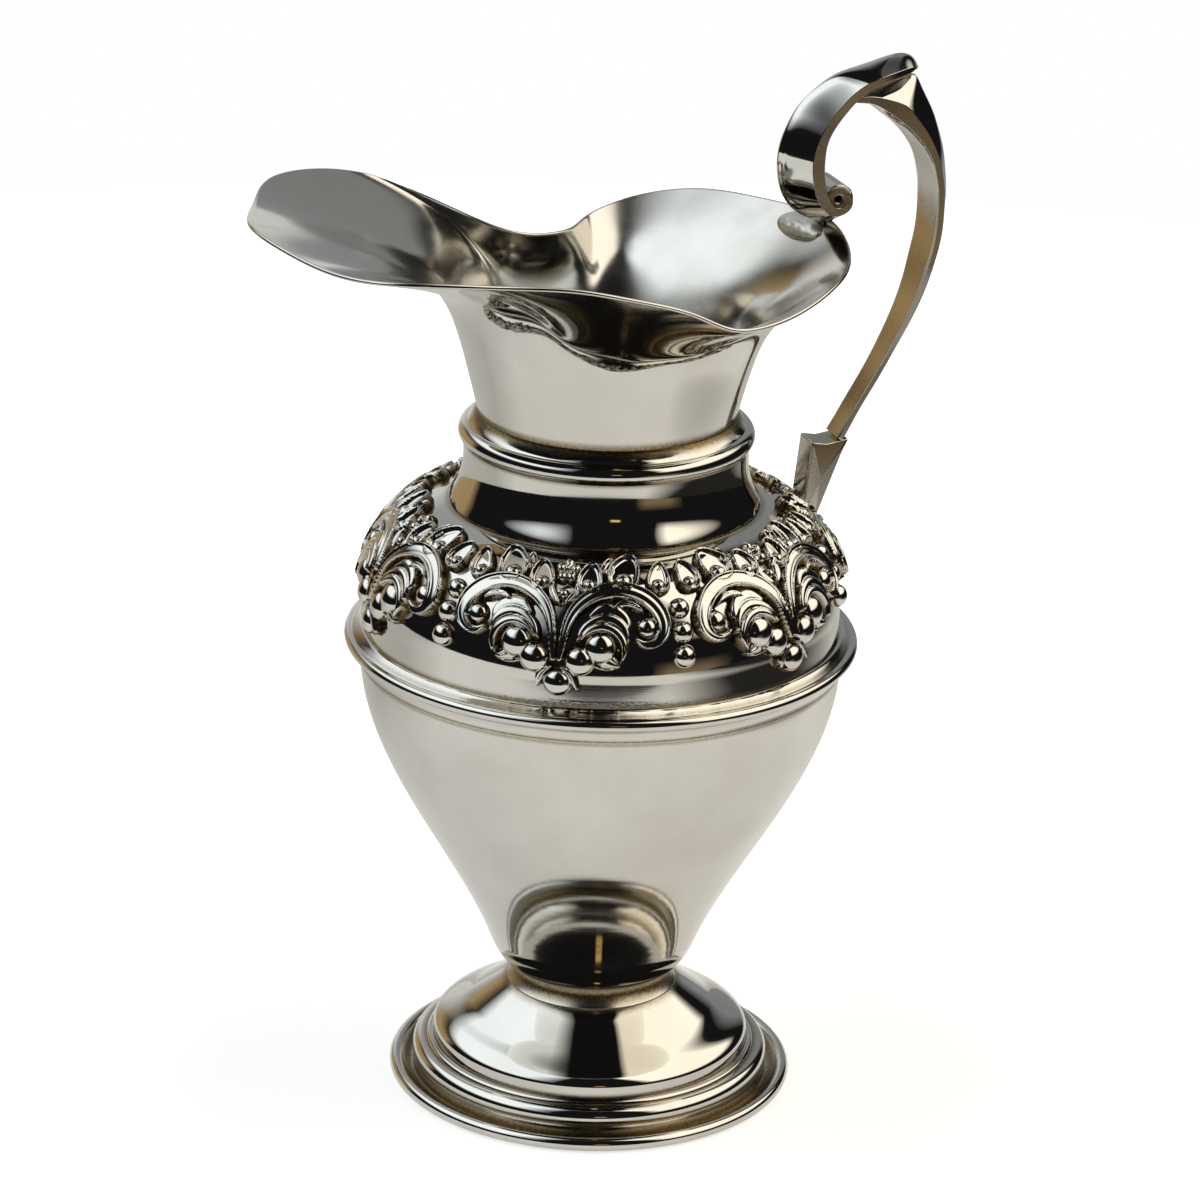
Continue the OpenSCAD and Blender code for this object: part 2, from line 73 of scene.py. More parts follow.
camera_data = bpy.data.cameras.new("camera")
camera_data.lens = 150.0
camera_data.sensor_width = 36.0
camera_data.clip_end = 20.0
camera = bpy.data.objects.new("camera", camera_data)
bpy.context.scene.collection.objects.link(camera)
camera_place = in_frame(0.0, -CAMERA_BACK, CAMERA_UP) * MM
axes = np.eye(4)
axes[:3, 0], axes[:3, 1], axes[:3, 2], axes[:3, 3] = view_right, view_up, -ahead, camera_place
camera.matrix_world = Matrix(axes.tolist())
bpy.context.scene.camera = camera
print("camera at", camera_place.round(4))

# %% [markdown]
# Every piece below is a grid of points: rows along a profile, columns around or along it. One
# helper turns such a grid into faces, closes it where it meets itself or ends, and another puts
# the whole arrays into a mesh at once. The enclosed volume tells whether the faces look outwards;
# if it comes out negative, all of them are turned over.

# %% Grid surfaces
def grid_faces(rows, cols, wrap_rows, wrap_cols):
    """Corner numbers of the quads between neighbouring rows and columns."""
    r = np.arange(rows if wrap_rows else rows - 1)[:, None]
    c = np.arange(cols if wrap_cols else cols - 1)[None, :]
    r2, c2 = (r + 1) % rows, (c + 1) % cols
    corners = np.broadcast_arrays(r * cols + c, r * cols + c2, r2 * cols + c2, r2 * cols + c)
    return np.stack(corners, -1).reshape(-1, 4)


def volume(points, faces):
    """Signed volume: the sum over triangles of corner dot (corner cross corner) over six."""
    triangles = [f[:, [0, k, k + 1]] for f in faces for k in range(1, f.shape[1] - 1)]
    a, b, c = np.moveaxis(points[np.concatenate(triangles)], 1, 0)
    return (a * np.cross(b, c)).sum() / 6.0


def mesh_piece(name, points, faces, marks=None):
    """A smooth mesh object from points in millimetres and rows of corner numbers."""
    size = volume(points, faces)
    if size < 0:
        faces = [f[:, ::-1] for f in faces]
    corners = np.concatenate([f.ravel() for f in faces]).astype(np.int32)
    counts = np.concatenate([np.full(len(f), f.shape[1]) for f in faces])
    starts = np.concatenate([[0], np.cumsum(counts)[:-1]]).astype(np.int32)
    mesh = bpy.data.meshes.new(name)
    mesh.vertices.add(len(points))
    mesh.vertices.foreach_set("co", (points * MM).astype(np.float32).ravel())
    mesh.loops.add(len(corners))
    mesh.loops.foreach_set("vertex_index", corners)
    mesh.polygons.add(len(counts))
    mesh.polygons.foreach_set("loop_start", starts)
    mesh.polygons.foreach_set("use_smooth", np.ones(len(counts), dtype=bool))
    mesh.update(calc_edges=True)
    changed = mesh.validate()
    for key, values in (marks or {}).items():
        layer = mesh.attributes.new(key, "FLOAT", "POINT")
        layer.data.foreach_set("value", np.asarray(values, dtype=np.float32).ravel())
    piece = bpy.data.objects.new(name, mesh)
    bpy.context.scene.collection.objects.link(piece)
    print(f"{name}: {len(points)} points, {int((counts - 2).sum())} triangles,",
          f"{abs(size) / 1000:.2f} cm3, repaired {changed}")
    return piece


def surface(name, grid, wrap_rows=False, wrap_cols=True, marks=None):
    """A piece from a (rows, columns, 3) grid; open ends are closed onto their middle points."""
    rows, cols = grid.shape[:2]
    points = grid.reshape(-1, 3)
    marks = {key: np.broadcast_to(v, (rows, cols)).astype(float) for key, v in (marks or {}).items()}
    faces = [grid_faces(rows, cols, wrap_rows, wrap_cols)]
    if not wrap_rows:
        ring = np.arange(cols)
        nxt = (ring + 1) % cols
        last = (rows - 1) * cols
        points = np.vstack([points, grid[0].mean(0), grid[-1].mean(0)])
        low, high = np.full(cols, rows * cols), np.full(cols, rows * cols + 1)
        faces.append(np.stack([low, nxt, ring], 1))
        faces.append(np.stack([high, last + ring, last + nxt], 1))
        marks = {k: np.append(v.ravel(), [v[0].mean(), v[-1].mean()]) for k, v in marks.items()}
    return mesh_piece(name, points, faces, marks)


# %% [markdown]
# The metal. The jug looks like nickel silver or worn silver plate: a warm, slightly dark mirror.
# A mirror has little colour of its own, so the finish is in its small faults: fine rings left by
# the spinning lathe, wiping scratches, and brown-gold tarnish where a cloth can't reach. A mark
# stored on each point says where that tarnish sits, and noise breaks up its edge. A second mark
# makes the inside of the mouth satin, since no polishing wheel gets in there.

# %% Node helpers
def add_node(tree, kind, links=None, **settings):
    """Add a shader node, set its options, and fill its inputs with numbers or other sockets."""
    node = tree.nodes.new("ShaderNode" + kind)
    for key, value in settings.items():
        setattr(node, key, value)
    for key, value in (links or {}).items():
        if isinstance(value, bpy.types.NodeSocket):
            tree.links.new(value, node.inputs[key])
        else:
            node.inputs[key].default_value = value
    return node


def noise(tree, scale, detail=3.0):
    """Noise on Object coordinates, stretched by one scale for each axis (per metre)."""
    where = add_node(tree, "TexCoord").outputs["Object"]
    stretched = add_node(tree, "Mapping", {"Vector": where, "Scale": scale}).outputs[0]
    return add_node(tree, "TexNoise", {"Vector": stretched, "Scale": 1.0, "Detail": detail}).outputs[0]


def spread(tree, value, low, high, to_low, to_high):
    """Map a value from one range to another, held at both ends."""
    settings = {"Value": value, "From Min": low, "From Max": high, "To Min": to_low, "To Max": to_high}
    return add_node(tree, "MapRange", settings, clamp=True).outputs[0]


def arithmetic(tree, operation, a, b):
    """One Math node."""
    return add_node(tree, "Math", {0: a, 1: b}, operation=operation).outputs[0]


def mixed(tree, share, a, b):
    """Blend two colours by a share from 0 to 1."""
    return add_node(tree, "Mix", {"Factor": share, 6: a, 7: b}, data_type="RGBA").outputs[2]


# %% Metal finishes
SILVER = (0.66, 0.635, 0.585, 1.0)
SILVER_WORN = (0.60, 0.57, 0.51, 1.0)
TARNISH = (0.23, 0.165, 0.075, 1.0)
TARNISH_DARK = (0.060, 0.042, 0.024, 1.0)


def metal(name, gloss, rings=0.0, ripple=0.0, scratches=0.0, grain=0.0, tarnish=1.0):
    """A metal finish: gloss is its roughness, the rest are strengths of its small faults."""
    material = bpy.data.materials.new(name)
    material.use_nodes = True
    tree = material.node_tree
    shader = tree.nodes["Principled BSDF"]
    shader.inputs["Metallic"].default_value = 1.0
    cloud = noise(tree, (55.0, 55.0, 55.0), 4.0)
    speck = noise(tree, (1500.0, 1500.0, 1500.0), 4.0)
    lines = noise(tree, (30.0, 30.0, 5200.0), 4.0)
    waves_up = noise(tree, (6.0, 6.0, 620.0), 1.0)
    wiped = noise(tree, (2600.0, 120.0, 700.0), 3.0)
    mark = add_node(tree, "Attribute", attribute_name="tarnish").outputs["Fac"]
    ragged = arithmetic(tree, "MULTIPLY", mark, spread(tree, speck, 0.3, 0.7, 0.75, 1.15))
    brown = spread(tree, ragged, 0.05, 0.75, 0.0, tarnish)
    black = spread(tree, ragged, 0.7, 1.15, 0.0, 0.85 * tarnish)
    tone = mixed(tree, spread(tree, cloud, 0.4, 0.62, 0.0, 0.6), SILVER, SILVER_WORN)
    tone = mixed(tree, brown, tone, TARNISH)
    tree.links.new(mixed(tree, black, tone, TARNISH_DARK), shader.inputs["Base Color"])
    satin = add_node(tree, "Attribute", attribute_name="satin").outputs["Fac"]
    dull = arithmetic(tree, "MULTIPLY", satin, spread(tree, cloud, 0.35, 0.65, 0.05, 0.11))
    worn = spread(tree, cloud, 0.45, 0.7, 0.0, 0.02)
    dirty = spread(tree, mark, 0.1, 1.0, 0.0, 0.3)
    rough = spread(tree, lines, 0.3, 0.7, gloss - 0.006, gloss + 0.012)
    for more in (worn, dirty, dull):
        rough = arithmetic(tree, "ADD", rough, more)
    tree.links.new(rough, shader.inputs["Roughness"])
    pits = arithmetic(tree, "ADD", arithmetic(tree, "MULTIPLY", mark, 0.25), grain)
    height = arithmetic(tree, "MULTIPLY", lines, rings)
    for fault, strength in ((waves_up, ripple), (wiped, scratches), (speck, pits)):
        height = arithmetic(tree, "ADD", height, arithmetic(tree, "MULTIPLY", fault, strength))
    bump = add_node(tree, "Bump", {"Height": height, "Strength": 0.6, "Distance": 0.0002})
    tree.links.new(bump.outputs[0], shader.inputs["Normal"])
    return material


polished = metal("polished_silver", 0.035, rings=0.003, scratches=0.003)
spun = metal("spun_silver", 0.045, rings=0.006, ripple=0.03, scratches=0.003)
cast = metal("cast_silver", 0.05, scratches=0.006, grain=0.01)
stamped = metal("stamped_silver", 0.04, scratches=0.002, grain=0.004)
brown_solder = metal("tarnished_solder", 0.13, rings=0.02, grain=0.06)
grey_solder = metal("grainy_solder", 0.38, grain=0.6, tarnish=0.4)
print("finishes:", [m.name for m in bpy.data.materials])


# %% Seat a piece in the model
def seat(piece, node, finish):
    """Give a piece its finish, ride it on the body, and hide the CAD node it is built in place of."""
    piece.data.materials.append(finish)
    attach(piece, "root")
    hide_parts(node)


# %% [markdown]
# The body is turned work: every ring and shell is one profile carried once around the axis. A
# profile is drawn with straight runs, arcs and Bezier curves. Real metal has no perfectly sharp
# edge, and a soft edge is what catches the light, so each corner is rounded by a fraction of a
# millimetre, with an extra point on either side to keep the faces beside it flat.

# %% Profile helpers
AROUND = 320
angles = np.linspace(0.0, 2.0 * np.pi, AROUND, endpoint=False)


def arc(r, z, radius, start, end, n=14):
    """Points on a circle about (r, z), angles in degrees from the outward direction."""
    a = np.radians(np.linspace(start, end, n))
    return np.stack([r + radius * np.cos(a), z + radius * np.sin(a)], 1)


def bez(p0, p1, p2, p3, n=24):
    """Cubic Bezier curve: four points weighted by the cubic Bernstein polynomials."""
    t = np.linspace(0.0, 1.0, n)[:, None]
    p0, p1, p2, p3 = (np.asarray(p, float) for p in (p0, p1, p2, p3))
    return (1 - t) ** 3 * p0 + 3 * t * (1 - t) ** 2 * p1 + 3 * t * t * (1 - t) * p2 + t ** 3 * p3


def run(p0, p1, n=8):
    """Points along a straight line."""
    return np.linspace(p0, p1, n)


def unit(v):
    """Vectors scaled to length one."""
    return v / np.maximum(np.linalg.norm(v, axis=-1, keepdims=True), 1e-12)


def soften(profile, radius=0.2, turn=24.0, closed=True):
    """Round each corner that turns sharply by a quadratic curve as long as the radius allows."""
    p = np.asarray(profile, float)
    keep = np.linalg.norm(p - np.roll(p, 1, axis=0), axis=1) > 1e-6
    p = p[keep]
    back, on = np.roll(p, 1, axis=0) - p, np.roll(p, -1, axis=0) - p
    reach = np.minimum(np.linalg.norm(back, axis=1), np.linalg.norm(on, axis=1))
    cosine = np.clip((unit(-back) * unit(on)).sum(1), -1, 1)
    sharp = np.degrees(np.arccos(cosine)) > turn
    if not closed:
        sharp[[0, -1]] = False
    cut = np.minimum(radius, 0.3 * reach)[:, None]
    a, b = p + unit(back) * cut, p + unit(on) * cut
    t = np.array([0.0, 0.25, 0.5, 0.75, 1.0])[:, None, None]
    bend = (1 - t) ** 2 * a + 2 * t * (1 - t) * p + t * t * b
    support = [p + unit(back) * cut * 1.5, *bend, p + unit(on) * cut * 1.5]
    rounded = np.stack(support, 1)
    parts = [rounded[i] if sharp[i] else p[i:i + 1] for i in range(len(p))]
    return np.vstack(parts)


def offset(curve, distance):
    """A curve moved sideways along its normals; outwards for a curve that runs upwards."""
    t = unit(np.gradient(curve, axis=0))
    return curve + distance * np.stack([t[:, 1], -t[:, 0]], 1)


def grime(profile, spots):
    """Tarnish along a profile: the sum of soft spots given as (r, z, size, amount)."""
    total = np.zeros(len(profile))
    for r, z, size, amount in spots:
        total += amount * np.exp(-((profile[:, 0] - r) ** 2 + (profile[:, 1] - z) ** 2) / size ** 2)
    return np.clip(total, 0.0, 1.2)


def turned(name, profile, closed=True, spots=(), radius=0.2):
    """A turned piece: point (r, z) of the profile goes to (r cos a, r sin a, z) at each angle."""
    line = soften(profile, radius, closed=closed)
    r, z = line[:, :1], line[:, 1:]
    grid = np.stack([r * np.cos(angles), r * np.sin(angles), z + 0 * angles], -1)
    return surface(name, grid, wrap_rows=closed, marks={"tarnish": grime(line, spots)[:, None]})


# %% [markdown]
# The foot is three spun mouldings and a ring of solder: a flat rim with a rolled edge, a bead
# ring that stands on it, and a dome that narrows to the neck under the bowl. Dirt stays in the
# two grooves beside the bead and round the soldered neck, so those get the brown marks.

# %% Foot
rim_profile = np.vstack([
    run((36.0, 0.0), (46.4, 0.0)), arc(46.9, 1.6, 1.6, -90, 128, 20),
    bez((45.7, 2.7), (45.2, 2.1), (44.6, 1.75), (43.6, 1.65), 8), run((43.2, 1.62), (36.0, 1.62))])
foot_rim = turned("foot_rim_rolled", rim_profile, spots=[(44.3, 1.7, 1.5, 0.95)])
seat(foot_rim, "foot_rim", polished)

bead_profile = np.vstack([
    run((38.0, 1.62), (42.9, 1.62), 5), run((42.75, 2.0), (42.55, 4.2), 4),
    arc(40.4, 5.64, 2.6, -28, 78, 22), arc(38.75, 8.05, 0.95, 5, 105, 12),
    run((38.3, 9.03), (38.0, 9.04), 2)])
foot_bead = turned("foot_bead_moulding", bead_profile, spots=[(42.8, 1.8, 1.1, 0.9), (39.9, 8.1, 0.5, 0.7)])
seat(foot_bead, "foot_bead", polished)

dome_line = np.vstack([
    run((38.0, 1.62), (38.0, 11.2), 14),
    bez((38.0, 11.64), (37.8, 14.24), (32.3, 15.62), (28.88, 18.12), 40),
    run((28.5, 18.4), (20.4, 24.2), 14)])
dome_profile = np.vstack([dome_line, offset(dome_line, -1.0)[::-1]])
foot_dome = turned("foot_dome_spun", dome_profile, spots=[(38.0, 9.2, 0.7, 0.8), (20.4, 24.2, 1.6, 0.55)])
seat(foot_dome, "foot_dome", polished)

neck_line = bez((20.4, 24.2), (18.9, 25.6), (18.0, 27.0), (18.6, 28.4), 20)
neck_profile = np.vstack([
    neck_line, run((16.4, 28.4), (16.6, 27.0), 3), run((18.6, 24.0), (19.7, 23.5), 3)])
foot_neck = turned("foot_neck_solder", neck_profile, spots=[(18.5, 26.6, 2.6, 0.8)])
seat(foot_neck, "foot_solder_ring", brown_solder)

# %% [markdown]
# The bowl is a spun shell a millimetre thick. Its outside is three Bezier curves that flow into
# each other, its inside is the same line moved in by the sheet's thickness, and both run to the
# axis, where a middle point closes them. Spinning leaves very fine level rings on it.

# %% Bowl
bowl_line = np.vstack([
    bez((18.6, 28.4), (22.0, 29.4), (23.6, 32.6), (25.2, 36.55), 24)[:-1],
    bez((25.2, 36.55), (30.27, 49.8), (42.6, 67.2), (48.9, 80.2), 64)[:-1],
    bez((48.9, 80.2), (53.16, 88.7), (56.69, 98.0), (56.8, 107.5), 40)[:-1],
    run((56.8, 107.5), (56.8, 112.08), 6)])
bowl_inside = offset(bowl_line, -1.0)[::-1]
bowl_inside = bowl_inside[bowl_inside[:, 1] > 30.9]
bowl_profile = np.vstack([
    run((0.8, 28.4), (18.2, 28.4), 12), bowl_line, bowl_inside,
    run((bowl_inside[-1, 0] - 0.2, 30.6), (0.8, 30.6), 14)])
bowl_spots = [(19.0, 28.6, 2.4, 0.75), (56.8, 106.9, 0.55, 0.5)]
bowl = turned("bowl_spun", bowl_profile, closed=False, spots=bowl_spots)
seat(bowl, "bowl_shell", spun)

# %% [markdown]
# The belt hides the joint between bowl and shoulder. It has a thin skirt over the bowl's edge, a
# hollow, a rounded nose and a sloping top. The shoulder above it is a short upright wall that
# rolls in on one large radius, and the collar stands on the shoulder: a flange, a hollow, a bead
# and a slope that ends at the neck.

# %% Belt, shoulder and collar
belt_profile = np.vstack([
    run((56.82, 107.5), (57.3, 107.5), 3), run((57.3, 107.7), (57.3, 108.3), 3),
    bez((57.3, 108.45), (57.3, 110.2), (58.4, 110.5), (59.26, 111.06), 12),
    arc(59.26, 112.4, 1.34, -75, 95, 20),
    bez((58.9, 113.8), (58.3, 114.2), (57.6, 114.6), (57.0, 115.1), 8),
    run((56.6, 115.3), (56.02, 115.4), 3), run((56.02, 114.8), (56.02, 112.1), 4),
    run((56.82, 112.08), (56.82, 110.0), 3)])
belt = turned("belt_moulding", belt_profile, spots=[(57.3, 107.6, 0.4, 0.7), (58.2, 114.2, 0.8, 0.4)])
seat(belt, "belt_ring", polished)

SHOULDER_R, ROLL_R, ROLL_C, ROLL_Z, BELT_TOP, WALL = 56.0, 24.6, 31.4, 122.0, 115.4, 6.6
shoulder_line = np.vstack([
    run((SHOULDER_R + 0.5, 112.08), (SHOULDER_R, ROLL_Z - 0.4), 14),
    arc(ROLL_C, ROLL_Z, ROLL_R, 0.0, 80.4, 80)])
shoulder_profile = np.vstack([shoulder_line, offset(shoulder_line, -1.0)[::-1]])
shoulder_spots = [(56.0, 115.4, 0.9, 0.8), (36.8, 146.0, 0.8, 0.5)]
shoulder = turned("shoulder_spun", shoulder_profile, spots=shoulder_spots)
seat(shoulder, "shoulder_shell", polished)

collar_profile = np.vstack([
    run((30.2, 143.1), (35.4, 143.1), 4), run((35.4, 143.6), (35.4, 146.1), 3),
    run((36.5, 146.07), (36.5, 146.4), 2),
    bez((36.5, 146.5), (35.5, 149.5), (33.2, 151.6), (33.3, 157.7), 30),
    run((33.3, 158.4), (33.35, 160.6), 4),
    arc(32.2, 162.97, 2.4, -55, 72, 22), bez((32.5, 165.3), (32.0, 166.2), (31.2, 166.8), (30.6, 167.6), 8),
    run((30.2, 167.97), (30.2, 144.0), 12)])
collar_spots = [(30.4, 167.6, 1.6, 0.9), (36.4, 146.4, 0.5, 0.6), (33.4, 160.7, 0.6, 0.6)]
collar = turned("collar_moulding", collar_profile, spots=collar_spots)
seat(collar, "neck_collar", polished)

# %% [markdown]
# The mouth starts as a tube in the collar, opens as a slim cone and then turns out into a wavy rim
# with a long, nearly flat spout. It was bent by hand: one side is pinched in, and on the other the
# rim runs on higher and turns out wide, so the jug's own shoulder is mirrored under it. It could be
# modelled by pulling a cylinder about, but the rim is the shape that matters: a closed smooth curve
# through measured points. Each wall line follows the cone at first, bends at its own height, more or
# less softly, and runs on almost straight to its rim point.

# %% Smooth curves through points
def spline(points, samples, closed=False, columns=2):
    """Cubic curve through points whose slopes are solved so that its bending has no jumps."""
    p = np.asarray(points, float)
    p = np.vstack([p, p[:1]]) if closed else p
    knots = np.append(0.0, np.cumsum(np.linalg.norm(np.diff(p[:, :columns], axis=0), axis=1)))
    h, chord = np.diff(knots)[:, None], np.diff(p, axis=0)
    n = len(p) - 1 if closed else len(p)
    i = np.arange(n)
    matrix, right = np.zeros((n, n)), np.zeros((n, p.shape[1]))
    before, after = (i - 1) % len(h), i % len(h)
    weight = 1.0 / h[:, 0]
    matrix[i, i] = 2 * (weight[before] + weight[after])
    matrix[i, (i - 1) % n] += weight[before]
    matrix[i, (i + 1) % n] += weight[after]
    right[:] = 3 * (chord[before] / h[before] ** 2 + chord[after] / h[after] ** 2)
    if not closed:
        matrix[[0, -1]] = 0.0
        matrix[0, :2], matrix[-1, -2:] = (2, 1), (1, 2)
        right[0], right[-1] = 3 * chord[0] / h[0], 3 * chord[-1] / h[-1]
    slope = np.linalg.solve(matrix, right)
    slope = np.vstack([slope, slope[:1]]) if closed else slope
    at = np.linspace(0.0, knots[-1], samples, endpoint=not closed)
    k = np.clip(np.searchsorted(knots, at, side="right") - 1, 0, len(h) - 1)
    t = ((at - knots[k]) / h[k, 0])[:, None]
    return ((1 + 2 * t) * (1 - t) ** 2 * p[k] + t * (1 - t) ** 2 * h[k] * slope[k]
            + t * t * (3 - 2 * t) * p[k + 1] + t * t * (t - 1) * h[k] * slope[k + 1])


# %% Mouth
NECK_R, NECK_Z, SHEET = 30.2, 167.97, 1.0
pinched_half = np.array([
    [-86.0, 0.0, 216.97, 180.0, 0.82, 0.1], [-83.0, 14.8, 216.07, 169.1, 0.82, 0.1],
    [-77.1, 30.2, 215.07, 157.3, 0.82, 0.1], [-69.2, 43.9, 215.97, 145.7, 0.82, 0.1],
    [-54.2, 49.0, 215.67, 135.2, 0.82, 0.1], [-38.8, 44.8, 213.0, 126.3, 0.81, 0.1],
    [-26.7, 34.8, 208.72, 120.1, 0.79, 0.11], [-13.8, 27.0, 204.4, 109.0, 0.76, 0.115],
    [0.8, 33.2, 202.2, 85.2, 0.75, 0.12], [10.2, 46.3, 200.9, 73.5, 0.75, 0.12],
    [23.3, 51.5, 202.8, 61.3, 0.75, 0.12], [37.0, 43.4, 206.21, 46.3, 0.75, 0.12],
    [46.4, 30.8, 207.25, 31.2, 0.75, 0.12], [52.2, 15.7, 208.44, 15.5, 0.745, 0.12],
    [54.0, 0.0, 209.58, 0.0, 0.745, 0.12]])
pinched_half = np.hstack([pinched_half, np.broadcast_to([0.25, 1.0], (15, 2))])
wide_side = np.array([
    [-54.2, 49.0, 215.67, 136.0, 0.82, 0.1, 0.22, 1.0],
    [-38.8, 50.0, 214.4, 127.5, 0.61, 0.06, 0.18, 1.1],
    [-26.7, 52.5, 213.58, 118.5, 0.47, 0.045, 0.15, 1.35],
    [-13.8, 54.0, 210.9, 106.5, 0.43, 0.04, 0.13, 1.4],
    [0.8, 54.0, 206.26, 90.0, 0.54, 0.04, 0.13, 1.3],
    [10.2, 53.0, 202.0, 78.0, 0.67, 0.05, 0.15, 1.15],
    [23.3, 51.5, 202.9, 63.0, 0.76, 0.08, 0.2, 1.05]])
wide_half = np.vstack([pinched_half[1:4], wide_side, pinched_half[11:14]])
rim_points = np.vstack([pinched_half, wide_half[::-1] * np.array([1, -1, 1, -1, 1, 1, 1, 1])])
facing = np.radians(rim_points[:, 3:4])
rim_control = np.hstack([rim_points[:, :3], np.cos(facing), np.sin(facing), rim_points[:, 4:]])
AROUND_RIM = 600
rim = spline(rim_control, AROUND_RIM, closed=True, columns=3)
rim[:, 3:5] = unit(rim[:, 3:5])


def wall_at(line, share):
    """Outer wall at a share of the height: the cone, mixed with the rim point by a soft bend.

    The bend is w log(1 + exp((share - start) / w)), scaled to run from 0 to 1, to a power.
    """
    start, w, lean, power = (line[..., k] for k in range(5, 9))
    low, here, top = (w * np.logaddexp(0.0, (s - start) / w) for s in (0.0, share, 1.0))
    bend = (((here - low) / (top - low)) ** power)[..., None]
    z = NECK_Z + (line[..., 2] - NECK_Z) * share
    cone = (NECK_R + lean * (z - NECK_Z))[..., None] * line[..., 3:5]
    return np.concatenate([cone * (1 - bend) + line[..., :2] * bend, z[..., None]], -1)


def grid_normals(grid):
    """Unit normals of a grid whose columns close on themselves: along cross around."""
    along = np.gradient(grid, axis=0)
    around = np.roll(grid, -1, axis=1) - np.roll(grid, 1, axis=1)
    n = unit(np.cross(around, along))
    radial = grid * np.array([1.0, 1.0, 0.0])
    return n * np.sign((n[:1] * radial[:1]).sum(-1).mean())


shares = 1.0 - (1.0 - np.linspace(0.0, 0.975, 70)) ** 1.5
outer = wall_at(rim[None], shares[:, None])
TUBE_FOOT, TUBE_ROWS = 158.0, 8
tube_z = np.linspace(TUBE_FOOT, NECK_Z, TUBE_ROWS, endpoint=False)[:, None]
tube = np.concatenate([np.broadcast_to(NECK_R * rim[:, 3:5], (TUBE_ROWS, AROUND_RIM, 2)),
                       np.broadcast_to(tube_z, (TUBE_ROWS, AROUND_RIM))[..., None]], -1)
outer = np.concatenate([tube, outer])
normal = grid_normals(outer)
lip_up = unit(outer[-1] - outer[-2])
half_turn = np.radians(np.linspace(20, 160, 7))[:, None, None]
lip = outer[-1] - 0.5 * SHEET * normal[-1]
lip = lip + 0.5 * SHEET * (np.cos(half_turn) * normal[-1] + np.sin(half_turn) * lip_up)
inner = (outer - SHEET * normal)[::-1]
mouth_grid = np.concatenate([outer, lip, inner])
dirty_neck = np.clip(1.1 - np.abs(mouth_grid[..., 2] - 168.2) / 1.6, 0, 1) * 0.8
inside = (np.arange(len(mouth_grid)) >= len(outer) + 4)[:, None]
far = np.clip((mouth_grid[..., 1] + 6.0) / 16.0, 0, 1) * np.clip((mouth_grid[..., 0] + 45.0) / 20.0, 0, 1)
soft_inside = inside * (1.0 + far)
mouth_marks = {"tarnish": dirty_neck, "satin": soft_inside}
mouth = surface("mouth_spun", mouth_grid, wrap_rows=True, marks=mouth_marks)
seat(mouth, "mouth_shell", spun)
print("rim from", rim[:, :3].min(0).round(1), "to", rim[:, :3].max(0).round(1))

# %% [markdown]
# The handle is cast, not turned: a broad scroll on top, and a stem that grows out of it in one arch,
# bows out and comes back to the shoulder. Both are bands: a rounded crown outside, a straight side,
# and a flat back towards the jug. The section is carried along a bent path in the mirror plane and
# its crown, side and width change on the way. Hands polished the crown; the lower side of the
# scroll and the back of the stem are rougher, and their colour is mixed towards brown.

# %% Handle sweeps
def half_section(chamfer):
    """Half of the band's outline as shares of crown, side thickness and half width.

    The crown is a low roof with a rounded ridge: it falls with the root of u squared plus 0.05.
    """
    u = np.concatenate([np.linspace(0.0, 0.9, 15), [0.96, 0.985, 1.0]])
    ridge = np.sqrt(0.05)
    fall = (np.sqrt(u * u + 0.05) - ridge) / (np.sqrt(1.05) - ridge)
    crown = np.stack([1 - fall, 0 * u, u], 1)
    side = np.array([0.03, 0.1, 0.25, 0.45, 0.62, 1 - 1.1 * chamfer, 1 - chamfer])
    flank = np.stack([0 * side, side, 1 + 0 * side], 1)
    bevel = np.stack([np.zeros(4), 1 - chamfer * np.array([0.94, 0.5, 0.06, 0.0]),
                      1 - 0.8 * chamfer * np.array([0.06, 0.5, 0.94, 1.03])], 1)
    w = (1 - 0.8 * chamfer) * np.array([0.95, 0.8, 0.6, 0.4, 0.2, 0.0])
    back = np.stack([0 * w, 1 - 0.06 * (1 - (w / w[0]) ** 2), w], 1)
    return np.vstack([crown, flank, bevel, back])


def swept(name, path, mark, chamfer=0.15, from_back=0.0):
    """Carry the band along a path of (x, z, crown, side, width): the crown looks left of the travel."""
    half = half_section(chamfer)
    shares = np.vstack([half, (half * np.array([1, 1, -1]))[-2:0:-1]])
    travel = unit(np.gradient(path[:, :2], axis=0))
    out = np.stack([-travel[:, 1], travel[:, 0]], 1)
    reach = path[:, 2:3] * shares[:, 0] - path[:, 3:4] * (shares[:, 1] - from_back)
    x = path[:, :1] + out[:, :1] * reach
    z = path[:, 1:2] + out[:, 1:] * reach
    grid = np.stack([x, path[:, 4:5] * shares[:, 2], z], -1)
    on_side = (shares[:, 1] > 0.02) & (shares[:, 1] <= 1 - chamfer)
    on_back = (shares[:, 1] > 0.9) & (np.abs(shares[:, 2]) < 1 - 0.85 * chamfer)
    brown, satin = mark(grid, on_side, on_back)
    return surface(name, grid, marks={"tarnish": brown, "satin": satin})


def smooth_step(value, low, high):
    """From 0 at low to 1 at high with flat ends."""
    t = np.clip((value - low) / (high - low), 0, 1)
    return t * t * (3 - 2 * t)


def scroll_mark(grid, on_side, on_back):
    """Brown and satin: the side below the leaf tip and the whole back."""
    low = smooth_step(-grid[..., 2], -239.0, -233.0)
    return on_side * 0.3 * low + on_back * 0.4, on_side * (0.3 + 2.0 * low) + on_back


def stem_mark(grid, on_side, on_back):
    """Brown and satin: the inner face, and the side of the arch under the scroll."""
    z = grid[..., 2]
    high = smooth_step(z, 229.0, 237.0)
    patches = 0.36 + 0.16 * np.sin(0.31 * z) * np.sin(0.117 * z + 1.0)
    return on_side * (0.16 + 0.1 * high) + on_back * patches, on_side * (1.2 + high) + on_back * 0.5


